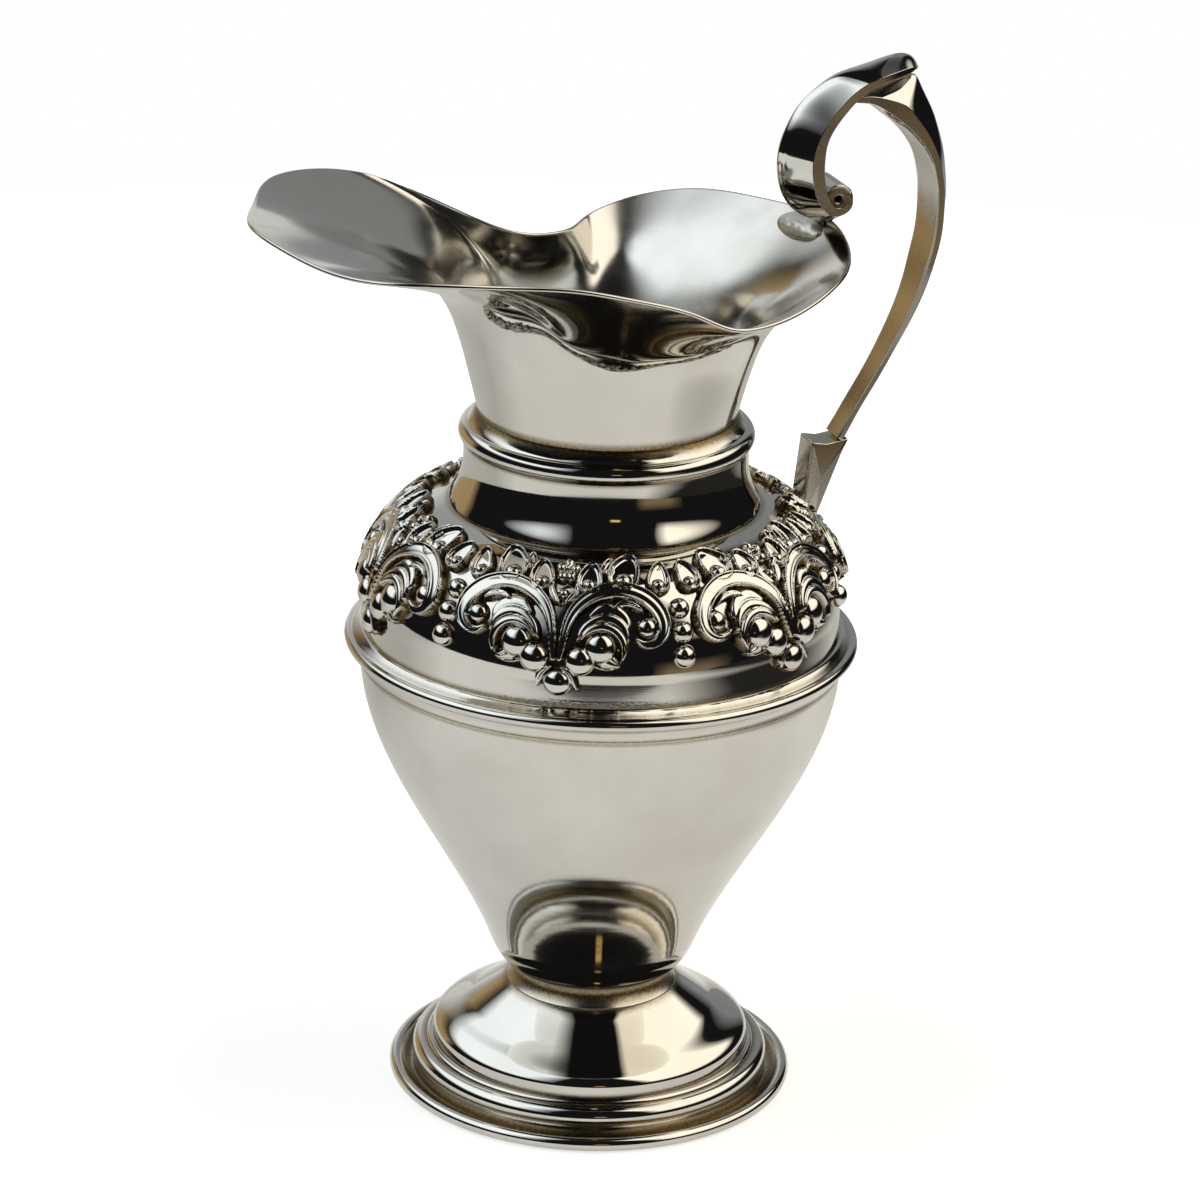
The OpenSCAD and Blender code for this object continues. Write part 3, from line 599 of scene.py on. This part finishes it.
scroll_points = np.array([
    (55.9, 217.9, 0.5, 0.8, 5.8), (57.0, 215.6, 0.8, 1.2, 5.85), (56.3, 213.7, 1.2, 1.6, 5.9),
    (54.6, 212.6, 2.0, 1.9, 5.9), (52.3, 212.4, 3.1, 2.2, 5.95), (50.0, 213.9, 3.9, 2.6, 6.0),
    (48.3, 216.2, 5.2, 2.9, 6.1), (47.2, 219.2, 6.2, 3.0, 6.2), (46.6, 222.2, 6.4, 3.1, 6.25),
    (46.5, 225.3, 6.5, 3.1, 6.25), (46.9, 228.2, 6.4, 2.9, 6.25), (47.9, 231.1, 6.2, 2.5, 6.25),
    (49.8, 234.4, 6.1, 2.2, 6.25), (52.6, 238.0, 5.3, 2.1, 6.25), (56.2, 241.6, 4.0, 2.0, 6.25),
    (60.3, 244.0, 2.5, 1.7, 6.2), (65.0, 245.4, 2.4, 1.5, 5.9), (68.6, 246.2, 2.5, 1.4, 5.3),
    (71.6, 246.4, 1.9, 1.1, 4.1), (73.5, 245.7, 0.6, 0.5, 1.7)])
scroll = swept("handle_scroll_cast", spline(scroll_points, 240), scroll_mark, chamfer=0.08)
seat(scroll, "handle_scroll", cast)

STEM_X, STEM_Z = 58.3, 158.17
stem_line = np.array([
    (54.3, 239.56, 1.5, 5.9), (57.1, 238.98, 3.6, 6.0), (60.3, 238.49, 5.4, 6.2),
    (63.0, 237.0, 8.4, 6.4), (66.2, 234.5, 11.6, 6.55), (69.5, 232.0, 9.9, 6.55),
    (72.2, 229.46, 8.2, 6.55), (74.3, 226.9, 6.8, 6.55), (76.0, 224.0, 5.7, 6.55),
    (77.2, 220.2, 5.0, 6.55), (77.9, 216.8, 4.6, 6.55), (78.1, 212.1, 4.4, 6.55),
    (78.0, 208.0, 4.4, 6.5), (77.5, 203.7, 4.3, 6.4), (76.6, 199.6, 4.2, 6.25),
    (74.9, 193.0, 3.9, 5.65), (72.1, 185.5, 3.4, 4.9), (68.9, 178.8, 3.0, 4.35),
    (65.2, 171.8, 2.8, 4.1), (60.7, 164.2, 2.8, 4.0), (57.9, 159.4, 3.2, 4.0),
    (56.6, 157.3, 3.4, 4.0)])
stem_x, stem_z, stem_thick, stem_half = stem_line.T
stem_points = np.stack([stem_x, stem_z, 0.62 * stem_thick, 0.38 * stem_thick, stem_half], 1)
stem = swept("handle_stem_cast", spline(stem_points, 300), stem_mark, chamfer=0.2, from_back=1.0)
seat(stem, "handle_stem", cast)

# %% [markdown]
# The scroll ends in a small curl with a flat, rough face and a hole where the mould was cored. It
# is a turned shape lying on its side, so the profile helper makes it and its axes are swapped.

# %% Curl
CURL_X, CURL_Z, CURL_R, CURL_HALF = 53.5, 216.4, 3.6, 5.85
curl_half = np.vstack([
    [(0.1, CURL_HALF - 2.6)], run((0.6, CURL_HALF - 2.4), (0.8, CURL_HALF - 0.5), 4),
    run((1.15, CURL_HALF - 0.2), (2.9, CURL_HALF - 0.1), 5),
    arc(CURL_R - 0.4, CURL_HALF - 0.4, 0.4, 80, 5, 6), run((CURL_R, CURL_HALF - 0.8), (CURL_R, 0.0), 6)])
curl_line = soften(np.vstack([curl_half, (curl_half * np.array([1, -1]))[-2::-1]]), 0.15, closed=False)
turns = np.linspace(0, 2 * np.pi, 72, endpoint=False)
curl_grid = np.stack([
    CURL_X + curl_line[:, :1] * np.cos(turns), curl_line[:, 1:] + 0 * turns,
    CURL_Z + curl_line[:, :1] * np.sin(turns)], -1)
curl_dirt = np.where(curl_line[:, 0] < 1.0, 1.2, np.where(curl_line[:, 0] < 3.2, 0.5, 0.1))[:, None]
curl = surface("handle_curl_cast", curl_grid, marks={"tarnish": curl_dirt})
seat(curl, "handle_scroll", cast)

# %% [markdown]
# A wedge-shaped bracket carries the stem's foot. It is an outline in the mirror plane given
# thickness across it, with the outline drawn in a little at both sides for a rounded edge.

# %% Bracket
def prism(name, outline, half, edge=0.4, marks=None):
    """An outline carried from side to side; near each side it draws in on a quarter circle."""
    line = soften(outline, 0.5)
    outwards = offset(line, 1.0) - line
    quarter = np.radians(np.linspace(0, 90, 6))
    y, draw = half - edge * (1 - np.cos(quarter)), edge * (1 - np.sin(quarter))
    side = np.concatenate([-y, y[::-1]])[:, None]
    draw = np.concatenate([draw, draw[::-1]])[:, None]
    x, z = line[:, 0] - outwards[:, 0] * draw, line[:, 1] - outwards[:, 1] * draw
    return surface(name, np.stack([x, np.broadcast_to(side, x.shape), z], -1), marks=marks)


bracket_outline = np.array([
    (STEM_X - 10.0, STEM_Z - 20.2), (STEM_X - 6.4, STEM_Z - 20.2), (STEM_X - 0.6, STEM_Z - 5.0),
    (STEM_X + 1.2, STEM_Z - 1.2), (STEM_X - 4.2, STEM_Z - 2.0), (STEM_X - 8.0, STEM_Z - 1.4)])
bracket = prism("handle_bracket_cast", bracket_outline, 4.05, marks={"tarnish": 0.3, "satin": 0.3})
seat(bracket, "handle_bracket", cast)

# %% [markdown]
# Where the scroll meets the rim there is a lump of grey solder that nobody filed smooth. It lies on
# the inside of the mouth, so it is drawn as rings on that wall: a distance from the lump's middle
# and a turn give a place on the wall, and the lump rises from it like a flattened dome with bumps.

# %% Solder under the scroll
def waves(u, v, count, pitch, seed):
    """Bumps: the mean of sine waves with random directions and phases, from -1 to 1."""
    draw = np.random.default_rng(seed)
    turn, phase, fine = draw.uniform(0, 2 * np.pi, (3, count))
    step = 2 * np.pi / pitch * (0.6 + 0.8 * fine / (2 * np.pi))
    shape = (count,) + (1,) * u.ndim
    angle = (step * np.cos(turn)).reshape(shape) * u + (step * np.sin(turn)).reshape(shape) * v
    return np.sin(angle + phase.reshape(shape)).mean(0) * np.sqrt(2)


def inside_wall(column, share):
    """Place and inward normal on the inside of the mouth, at any rim column and share of height."""
    line = np.stack([np.interp(column, np.arange(AROUND_RIM), rim[:, k]) for k in range(9)], -1)
    nxt = np.stack([np.interp(column + 1, np.arange(AROUND_RIM), rim[:, k]) for k in range(9)], -1)
    place = wall_at(line, share)
    inward = unit(np.cross(wall_at(line, share + 0.01) - place, wall_at(nxt, share) - place))
    inward = inward * np.sign(-(inward * place * np.array([1, 1, 0])).sum(-1, keepdims=True))
    return place + SHEET * inward, inward


ring_share = np.sin(np.linspace(0.04, 0.5 * np.pi, 26))[:, None]
lump_turn = np.linspace(0, 2 * np.pi, 90, endpoint=False)
lump_u, lump_v = ring_share * np.cos(lump_turn), ring_share * np.sin(lump_turn)
wall_place, wall_in = inside_wall(AROUND_RIM / 2 + 14.5 * lump_u, 0.925 + 0.062 * lump_v)
bumps = waves(lump_u * 9, lump_v * 5, 16, 3.2, 3)
lump_rise = 2.3 * np.sqrt(np.clip(1.02 - ring_share ** 2, 0, 1)) * (1 + 0.12 * bumps) * (1 - 0.35 * lump_v)
lump_top = wall_place + wall_in * lump_rise[..., None]
lump_under = wall_place - 0.3 * wall_in
lump_grid = np.concatenate([lump_top, lump_under[::-1]])
solder = surface("rim_solder_lump", lump_grid, marks={"tarnish": 0.12})
seat(solder, "rim_solder", grey_solder)

# %% [markdown]
# The band of relief has six equal motifs: two big C-scrolls that spring from one stem, a hooded
# bud and a berry inside each, a berry hanging below, and a spray of small cupped leaves above.
# Sculpting it by hand would never repeat exactly. Instead it is a height over a flat sheet: u is
# the distance around the shoulder, v the distance up it. Each leaf, berry or scroll is a stroke
# with a width, the distance to the stroke gives its height, and the highest one wins. The sheet
# is cut along the outline of all strokes and wrapped onto the shoulder.

# %% Strokes and their heights
STEP = 0.22
U, V = np.meshgrid(np.arange(-27.5, 27.5 + STEP, STEP), np.arange(1.6, 36.6, STEP))


def stroke(points, samples=90):
    """Distance to a tapering stroke: edge distance, and share of the local half width."""
    path = spline(points, samples) if len(points) > 2 else np.linspace(points[0], points[1], samples)
    gap = np.hypot(U[..., None] - path[:, 0], V[..., None] - path[:, 1])
    nearest = (gap - path[:, 2]).argmin(-1)
    width = path[nearest, 2]
    reach = np.take_along_axis(gap, nearest[..., None], -1)[..., 0]
    return reach - width, reach / width


def scroll_band(points, top):
    """A rounded band with a raised roll along each side."""
    edge, share = stroke(points, 200)
    body = 0.45 + 0.4 * np.sqrt(np.clip(1 - share ** 2, 0, 1))
    rolls = 0.28 * np.exp(-((share - 0.74) / 0.17) ** 2)
    return edge, top * (body + rolls)


def leaf(points, top):
    """A plain leaf: thick along its middle, with a fine vein cut in."""
    edge, share = stroke(points)
    body = np.clip(1 - share ** 2, 0, 1) ** 0.5
    return edge, top * (0.25 + 0.75 * body - 0.18 * np.exp(-(share / 0.16) ** 2))


def crescent(points, top):
    """A hood leaf: a ridge near its outer edge and a slope down to the inner one."""
    edge, share = stroke(points, 140)
    ridge = np.clip(1 - share ** 2, 0, 1) ** 0.4
    return edge, top * (0.5 + 0.5 * ridge)


def berry(u, v, radius, top):
    """A half ball."""
    reach = np.hypot(U - u, V - v)
    return reach - radius, top * np.sqrt(np.clip(1 - (reach / radius) ** 2, 0.0, 1))


def cupped_leaf(u, v, tip_u, tip_v, radius, top):
    """A cup with a pointed tip, a raised edge all round, and a seed lying in it."""
    waist = (0.4 * u + 0.6 * tip_u, 0.4 * v + 0.6 * tip_v, 0.62 * radius)
    edge, _ = stroke([(u, v, radius), waist, (tip_u, tip_v, 0.12)], 80)
    rim_height = np.exp(-((edge + 0.5) / 0.42) ** 2)
    ball = np.hypot(U - u, (V - v + 0.3 * radius) * 1.15)
    seed = np.sqrt(np.clip(1 - (ball / (0.55 * radius)) ** 2, 0, 1))
    slope = 0.35 + 0.3 * np.clip((V - v) / (1.6 * radius), -0.5, 1.0)
    return edge, top * np.maximum(slope + (1 - slope) * rim_height, 0.9 * seed)


# %% One motif as a height sheet
def both_sides(make, points, *rest):
    """The same stroke on the right and mirrored on the left."""
    p = np.asarray(points, float)
    return [make(p, *rest), make(p * np.array([-1, 1, 1]), *rest)]


features = []
features += both_sides(scroll_band, [
    (0.7, 11.6, 0.8), (1.0, 14.4, 1.0), (1.5, 17.6, 1.2), (2.5, 20.8, 1.5), (4.9, 23.9, 1.8),
    (8.4, 26.0, 2.0), (12.6, 26.9, 2.15), (16.8, 26.3, 2.2), (20.5, 24.2, 2.2), (22.8, 20.9, 2.0),
    (23.0, 17.8, 1.7), (21.4, 15.6, 1.3), (18.9, 15.0, 1.0), (17.1, 16.1, 0.7)], 2.8)
features += [berry(side * 19.7, 18.6, 2.7, 2.5) for side in (-1, 1)]
features += both_sides(leaf, [
    (18.9, 21.9, 0.3), (16.6, 23.4, 0.95), (13.6, 23.6, 0.95), (11.6, 22.6, 0.3)], 2.9)
features += both_sides(crescent, [
    (14.6, 17.0, 0.3), (14.9, 19.6, 1.2), (12.6, 22.0, 1.7), (9.4, 22.5, 1.6), (6.9, 21.0, 0.8)], 2.3)
features += both_sides(crescent, [
    (15.2, 15.4, 0.3), (14.4, 18.2, 1.1), (11.4, 20.4, 1.35), (7.8, 19.9, 1.3), (5.2, 17.7, 1.0),
    (4.0, 15.0, 0.2)], 2.7)
features += both_sides(crescent, [
    (13.6, 11.2, 0.3), (14.3, 14.4, 1.0), (12.8, 17.4, 1.15), (9.4, 18.7, 1.15), (6.4, 17.5, 0.9),
    (4.6, 15.2, 0.2)], 3.0)
features += [berry(side * 9.2, 14.4, 3.8, 3.3) for side in (-1, 1)]
features += both_sides(leaf, [(10.5, 12.0, 2.2), (12.4, 10.9, 1.2), (13.6, 10.3, 0.15)], 1.9)
features += both_sides(leaf, [(7.6, 10.5, 0.5), (10.4, 10.0, 0.9), (13.5, 10.0, 0.15)], 1.5)
features += [berry(side * 4.9, 11.2, 3.5, 3.15) for side in (-1, 1)]
features += [berry(0.3, 6.0, 3.4, 3.1)]
features += [leaf([(1.0, 9.8, 0.4), (2.9, 8.4, 0.9), (4.0, 6.4, 0.8), (5.0, 4.0, 0.15)], 2.3)]
features += [leaf([(-0.9, 9.8, 0.4), (-2.9, 8.4, 1.0), (-3.7, 6.4, 0.9), (-3.9, 4.8, 0.3)], 2.2)]
cups = ((14.6, 30.8, 18.0, 35.8, 4.4, 2.6), (23.6, 29.2, 25.2, 34.2, 3.3, 2.3),
        (6.1, 29.2, 7.0, 33.4, 3.5, 2.7), (10.4, 32.6, 11.6, 36.0, 2.1, 1.9))
for side in (-1, 1):
    features += [cupped_leaf(side * u, v, side * tip_u, *rest) for u, v, tip_u, *rest in cups]
    features += [leaf([
        (side * 0.5, 23.4, 0.3), (side * 2.3, 25.2, 1.3), (side * 3.2, 27.6, 0.9),
        (side * 2.4, 29.4, 0.2)], 2.0)]
features += [berry(0.0, 25.8, 1.5, 2.2), berry(0.0, 31.8, 1.3, 2.7)]
petal_turn = np.radians(np.arange(18, 360, 72))
features += [berry(2.1 * np.cos(a), 31.8 + 2.0 * np.sin(a), 1.6, 2.1) for a in petal_turn]

edges = np.stack([f[0] for f in features])
heights = np.stack([f[1] * smooth_step(-f[0], -0.05, 0.45) for f in features])
outline = edges.min(0)
relief = np.maximum(heights.max(0), 0.35)
order = np.sort(heights, axis=0)
crease = smooth_step(order[-2] / np.maximum(order[-1], 1e-3), 0.72, 1.0) * (order[-1] > 0.3)
dirt = 0.55 * crease + 0.9 * smooth_step(-outline, 0.55, 0.0) + 0.5 * smooth_step(relief, 0.9, 0.4)
dirt = np.clip(dirt, 0, 1.1)
print("motif:", len(features), "strokes, height", relief.max().round(2), "mm")


# %% Cut the sheet and wrap it on the shoulder
def on_shoulder(turn, v, height):
    """Place on the shoulder: straight up the wall, then round its arc, lifted along the normal."""
    bend = np.maximum(v - WALL, 0.0) / ROLL_R
    r = ROLL_C + (ROLL_R + height) * np.cos(bend)
    z = np.minimum(v, WALL) + BELT_TOP + (ROLL_R + height) * np.sin(bend)
    return np.stack([r * np.cos(turn), r * np.sin(turn), z], -1)


PER_DEGREE = 0.925


def motif(name, turn_degrees, field):
    """Keep the cells inside the outline, pull their outer corners onto it, add sides and a back."""
    rows, cols = U.shape
    cells = grid_faces(rows, cols, False, False)
    cells = cells[(field.ravel()[cells] < 0).any(1)]
    du, dv = np.gradient(field, STEP, axis=1), np.gradient(field, STEP, axis=0)
    pull = np.where(field > 0, field, 0) / np.maximum(du ** 2 + dv ** 2, 0.3)
    u, v = U - np.clip(pull * du, -STEP, STEP), V - np.clip(pull * dv, -STEP, STEP)
    used, cells = np.unique(cells, return_inverse=True)
    cells = cells.reshape(-1, 4)
    turn = np.radians(turn_degrees + u.ravel()[used] / PER_DEGREE)
    top = on_shoulder(turn, v.ravel()[used], relief.ravel()[used])
    under = on_shoulder(turn, v.ravel()[used], np.full(len(used), -0.25))
    sides = np.stack([cells, np.roll(cells, -1, axis=1)], -1).reshape(-1, 2)
    key = np.sort(sides, 1) @ np.array([len(used), 1])
    _, first, count = np.unique(key, return_index=True, return_counts=True)
    rim_pairs = sides[first[count == 1]]
    start, end = rim_pairs.T
    walls = np.stack([end, start, start + len(used), end + len(used)], 1)
    faces = [np.vstack([cells, cells[:, ::-1] + len(used), walls])]
    shade = dirt.ravel()[used]
    return mesh_piece(name, np.vstack([top, under]), faces, {"tarnish": np.append(shade, shade)})


bracket_room = np.minimum(4.4 - np.abs(U), V - 16.6)
for k in range(6):
    field = np.maximum(outline, bracket_room) if k == 0 else outline
    piece = motif(f"leaf_motif_{k + 1}", 60.0 * k, field)
    seat(piece, "motif_stampings", stamped)

# %% [markdown]
# Between the motifs hang three beads, each a little smaller than the one below. All eighteen are
# one mesh: a half ball with a short skirt below the surface, copied by adding places to one grid.

# %% Bead drops
rise_angle = np.radians(np.append(np.linspace(88, 4, 12), [0.0]))
dome_r = np.append(np.cos(rise_angle), [1.0, 0.05])
dome_h = np.append(np.sin(rise_angle), [-0.12, -0.12])
around = np.linspace(0, 2 * np.pi, 40, endpoint=False)
drop_v = np.array([11.8, 17.25, 22.7])
drop_r = np.array([2.75, 2.585, 2.42])
turn0 = np.radians(30.0 + 60.0 * np.arange(6))
bead_turn, bead_row = (a.ravel() for a in np.meshgrid(turn0, np.arange(3), indexing="ij"))
centre = on_shoulder(bead_turn, drop_v[bead_row], 0.0 * bead_turn)
out = on_shoulder(bead_turn, drop_v[bead_row], 0.0 * bead_turn + 1.0) - centre
side = np.stack([-np.sin(bead_turn), np.cos(bead_turn), 0 * bead_turn], -1)
up = np.cross(out, side)
size = drop_r[bead_row][:, None, None, None]
about = np.cos(around)[:, None] * side[:, None, None] + np.sin(around)[:, None] * up[:, None, None]
disc = dome_r[:, None, None] * about
balls = centre[:, None, None] + size * (disc + 0.96 * dome_h[:, None, None] * out[:, None, None])
count, rows, cols = balls.shape[:3]
per = rows * cols
one = grid_faces(rows, cols, False, True)
shift = (np.arange(count) * (per + 2))[:, None, None]
ring = np.arange(cols)
tip_faces = np.stack([np.full(cols, per), (ring + 1) % cols, ring], 1)
base_faces = np.stack([np.full(cols, per + 1), per - cols + ring, per - cols + (ring + 1) % cols], 1)
ends = np.stack([balls[:, 0].mean(1), balls[:, -1].mean(1)], 1)
bead_points = np.concatenate([balls.reshape(count, per, 3), ends], 1).reshape(-1, 3)
bead_faces = [(f + shift).reshape(-1, f.shape[1]) for f in (one, tip_faces, base_faces)]
foot_dirt = np.append(np.repeat(np.clip(1.0 - dome_h / 0.25, 0, 1), cols), [0.0, 1.0])
bead_marks = {"tarnish": np.tile(foot_dirt, count)}
beads = mesh_piece("bead_drops_struck", bead_points, bead_faces, bead_marks)
seat(beads, "bead_drops", stamped)

# %% [markdown]
# Bright metal shows its surroundings, so the studio is half of the finish. The jug stands on a
# white table inside a dark tent with two large soft lights: a cool one on the left, whose far edge
# slants, and a cream one on the right. Behind them the tent is grey, with pale paper low down on
# the left, beside a brown curtain. The side towards the camera is black but for a patch of brown
# floor and one small amber lamp. The tent is a dome that the camera can't see. Its light is worked
# out from the direction it lies in, as bearing and height in degrees.

# %% Studio tent
DEGREES_PER_RADIAN = 57.2958


def tent_light():
    """Emission by bearing (0 towards the camera, right is positive) and height above level."""
    material = bpy.data.materials.new("studio_tent")
    material.use_nodes = True
    tree = material.node_tree
    tree.nodes.clear()
    where = add_node(tree, "TexCoord").outputs["Object"]
    spin = {"Vector": where, "Angle": TURN}
    turned_about = add_node(tree, "VectorRotate", spin, rotation_type="Z_AXIS").outputs[0]
    x, y, z = add_node(tree, "SeparateXYZ", {0: turned_about}).outputs[:3]
    bearing = arithmetic(tree, "ARCTAN2", x, arithmetic(tree, "MULTIPLY", y, -1.0))
    bearing = arithmetic(tree, "MULTIPLY", bearing, DEGREES_PER_RADIAN)
    flat = arithmetic(tree, "ADD", arithmetic(tree, "MULTIPLY", x, x), arithmetic(tree, "MULTIPLY", y, y))
    height = arithmetic(tree, "ARCTAN2", z, arithmetic(tree, "SQRT", flat, 0.0))
    height = arithmetic(tree, "MULTIPLY", height, DEGREES_PER_RADIAN)
    slant = arithmetic(tree, "SUBTRACT", bearing, arithmetic(tree, "MULTIPLY", height, 0.625))

    def panel(*edges):
        """A soft-edged window: the product of ramps, each from 0 at one value to 1 at another."""
        share = 1.0
        for value, a, b in edges:
            low, high, first, last = (a, b, 0.0, 1.0) if a < b else (b, a, 1.0, 0.0)
            share = arithmetic(tree, "MULTIPLY", share, spread(tree, value, low, high, first, last))
        return share

    colour = (0.010, 0.010, 0.011, 1.0)
    for share, light in (
            (panel((slant, -163, -170), (bearing, -120, -130), (height, -20, -10), (height, 70, 55)),
             (0.42, 0.44, 0.455, 1.0)),
            (panel((bearing, 147, 155), (height, -20, -8), (height, 78, 62)),
             (0.275, 0.29, 0.30, 1.0)),
            (panel((bearing, 24, 32), (bearing, 64, 52), (height, -26, -18), (height, 2, -9)),
             (0.24, 0.18, 0.10, 1.0)),
            (panel((bearing, -114, -124), (bearing, -160, -150), (height, -20, -12), (height, 26, 14)),
             (0.46, 0.335, 0.165, 1.0)),
            (panel((bearing, -150, -160), (height, -20, -8), (height, 26, 16)),
             (0.75, 0.76, 0.74, 1.0)),
            (panel((slant, -173, -164), (bearing, -24, -52), (height, 25, 34), (height, 88, 76)),
             (1.34, 1.46, 1.55, 1.0)),
            (panel((bearing, 40, 50), (bearing, 141, 134), (height, 20, 29), (height, 88, 80)),
             (1.62, 1.54, 1.34, 1.0)),
            (panel((bearing, 4, 6), (bearing, 13, 11), (height, 15, 16.5), (height, 20, 18.5)),
             (1.1, 0.75, 0.25, 1.0))):
        colour = mixed(tree, share, colour, light)
    emission = add_node(tree, "Emission", {"Color": colour, "Strength": 1.0})
    add_node(tree, "OutputMaterial", {"Surface": emission.outputs[0]})
    return material


around_tent = np.linspace(0, 2 * np.pi, 96, endpoint=False)
tent_rise = np.radians(np.linspace(-28, 88, 60))[:, None]
TENT_R = 1900.0
tent_grid = TENT_R * np.stack([
    np.cos(tent_rise) * np.cos(around_tent), np.cos(tent_rise) * np.sin(around_tent),
    np.sin(tent_rise) + 0 * around_tent], -1)
tent = surface("studio_tent", tent_grid)
tent.data.materials.append(tent_light())
tent.visible_camera = False

# %% [markdown]
# The table is white and takes a soft shadow. What the camera sees of it is lifted to the white of
# the background, less near the jug, and what the mirror-like metal sees of it is lifted a little
# less, fading out behind the jug, so that the jug is reflected in a pale cream table. Far out on
# its right the table is painted black for mirrored rays only, a painted dark reflection that the
# camera and the light never see: the outer edge of the handle mirrors it. The table ends not far
# in front of the jug, so the wall below the leaves, which leans in a little, mirrors the black
# beyond its edge.

# %% Table and world
TABLE_R, TABLE_AWAY = 640.0, 162.0
TABLE_WHITE = (0.80, 0.785, 0.755, 1.0)
# Black painted on the table for mirrored rays only: a painted dark reflection.
REFLECTED_ONLY_BLACK = (0.02, 0.02, 0.02, 1.0)
table_rings = np.linspace(20.0, TABLE_R, 24)[:, None]
table_top = np.stack([
    table_rings * np.cos(around_tent), table_rings * np.sin(around_tent),
    0 * table_rings - 0.05 + 0 * around_tent], -1)
table_top = table_top + in_frame(0.0, TABLE_AWAY, 0.0)
table_thick = np.array([0.0, 0.0, 12.0])
table_grid = np.concatenate([table_top, table_top[-1:] - table_thick, table_top[:1] - table_thick])
table = surface("table_floor", table_grid)
white = bpy.data.materials.new("white_table")
white.use_nodes = True
tree = white.node_tree
shader = tree.nodes["Principled BSDF"]
shader.inputs["Roughness"].default_value = 0.8
shader.inputs["Specular IOR Level"].default_value = 0.1
path = add_node(tree, "LightPath").outputs
mirrored = arithmetic(tree, "MAXIMUM", path["Is Glossy Ray"], path["Is Transmission Ray"])
x, y, _ = add_node(tree, "SeparateXYZ", {0: add_node(tree, "TexCoord").outputs["Object"]}).outputs[:3]
right_x = arithmetic(tree, "MULTIPLY", x, np.cos(TURN))
right_y = arithmetic(tree, "MULTIPLY", y, np.sin(TURN))
to_right = arithmetic(tree, "SUBTRACT", right_x, right_y)
# Painted dark reflection: far out to the right the table is black for mirrored rays only; the camera and
# the light see it white.
reflected_black_share = arithmetic(tree, "MULTIPLY", mirrored, spread(tree, to_right, 0.24, 0.4, 0.0, 1.0))
tree.links.new(mixed(tree, reflected_black_share, TABLE_WHITE, REFLECTED_ONLY_BLACK), shader.inputs["Base Color"])
x_squared, y_squared = (arithmetic(tree, "MULTIPLY", v, v) for v in (x, y))
away_from_jug = arithmetic(tree, "ADD", x_squared, y_squared)
seen = spread(tree, away_from_jug, 0.008, 0.06, 0.6, 1.0)
mirrored = arithmetic(tree, "SUBTRACT", mirrored, reflected_black_share)
mirrored = arithmetic(tree, "MULTIPLY", mirrored, spread(tree, y, 0.03, 0.2, 0.36, 0.04))
lift = arithmetic(tree, "ADD", arithmetic(tree, "MULTIPLY", path["Is Camera Ray"], seen), mirrored)
shader.inputs["Emission Color"].default_value = (1.0, 1.0, 1.0, 1.0)
tree.links.new(lift, shader.inputs["Emission Strength"])
table.data.materials.append(white)

world = bpy.data.worlds.new("white_room")
bpy.context.scene.world = world
world.use_nodes = True
world.node_tree.nodes["Background"].inputs["Color"].default_value = (1.0, 1.0, 1.0, 1.0)
world.node_tree.nodes["Background"].inputs["Strength"].default_value = 1.0
bpy.context.scene.view_settings.view_transform = "Standard"
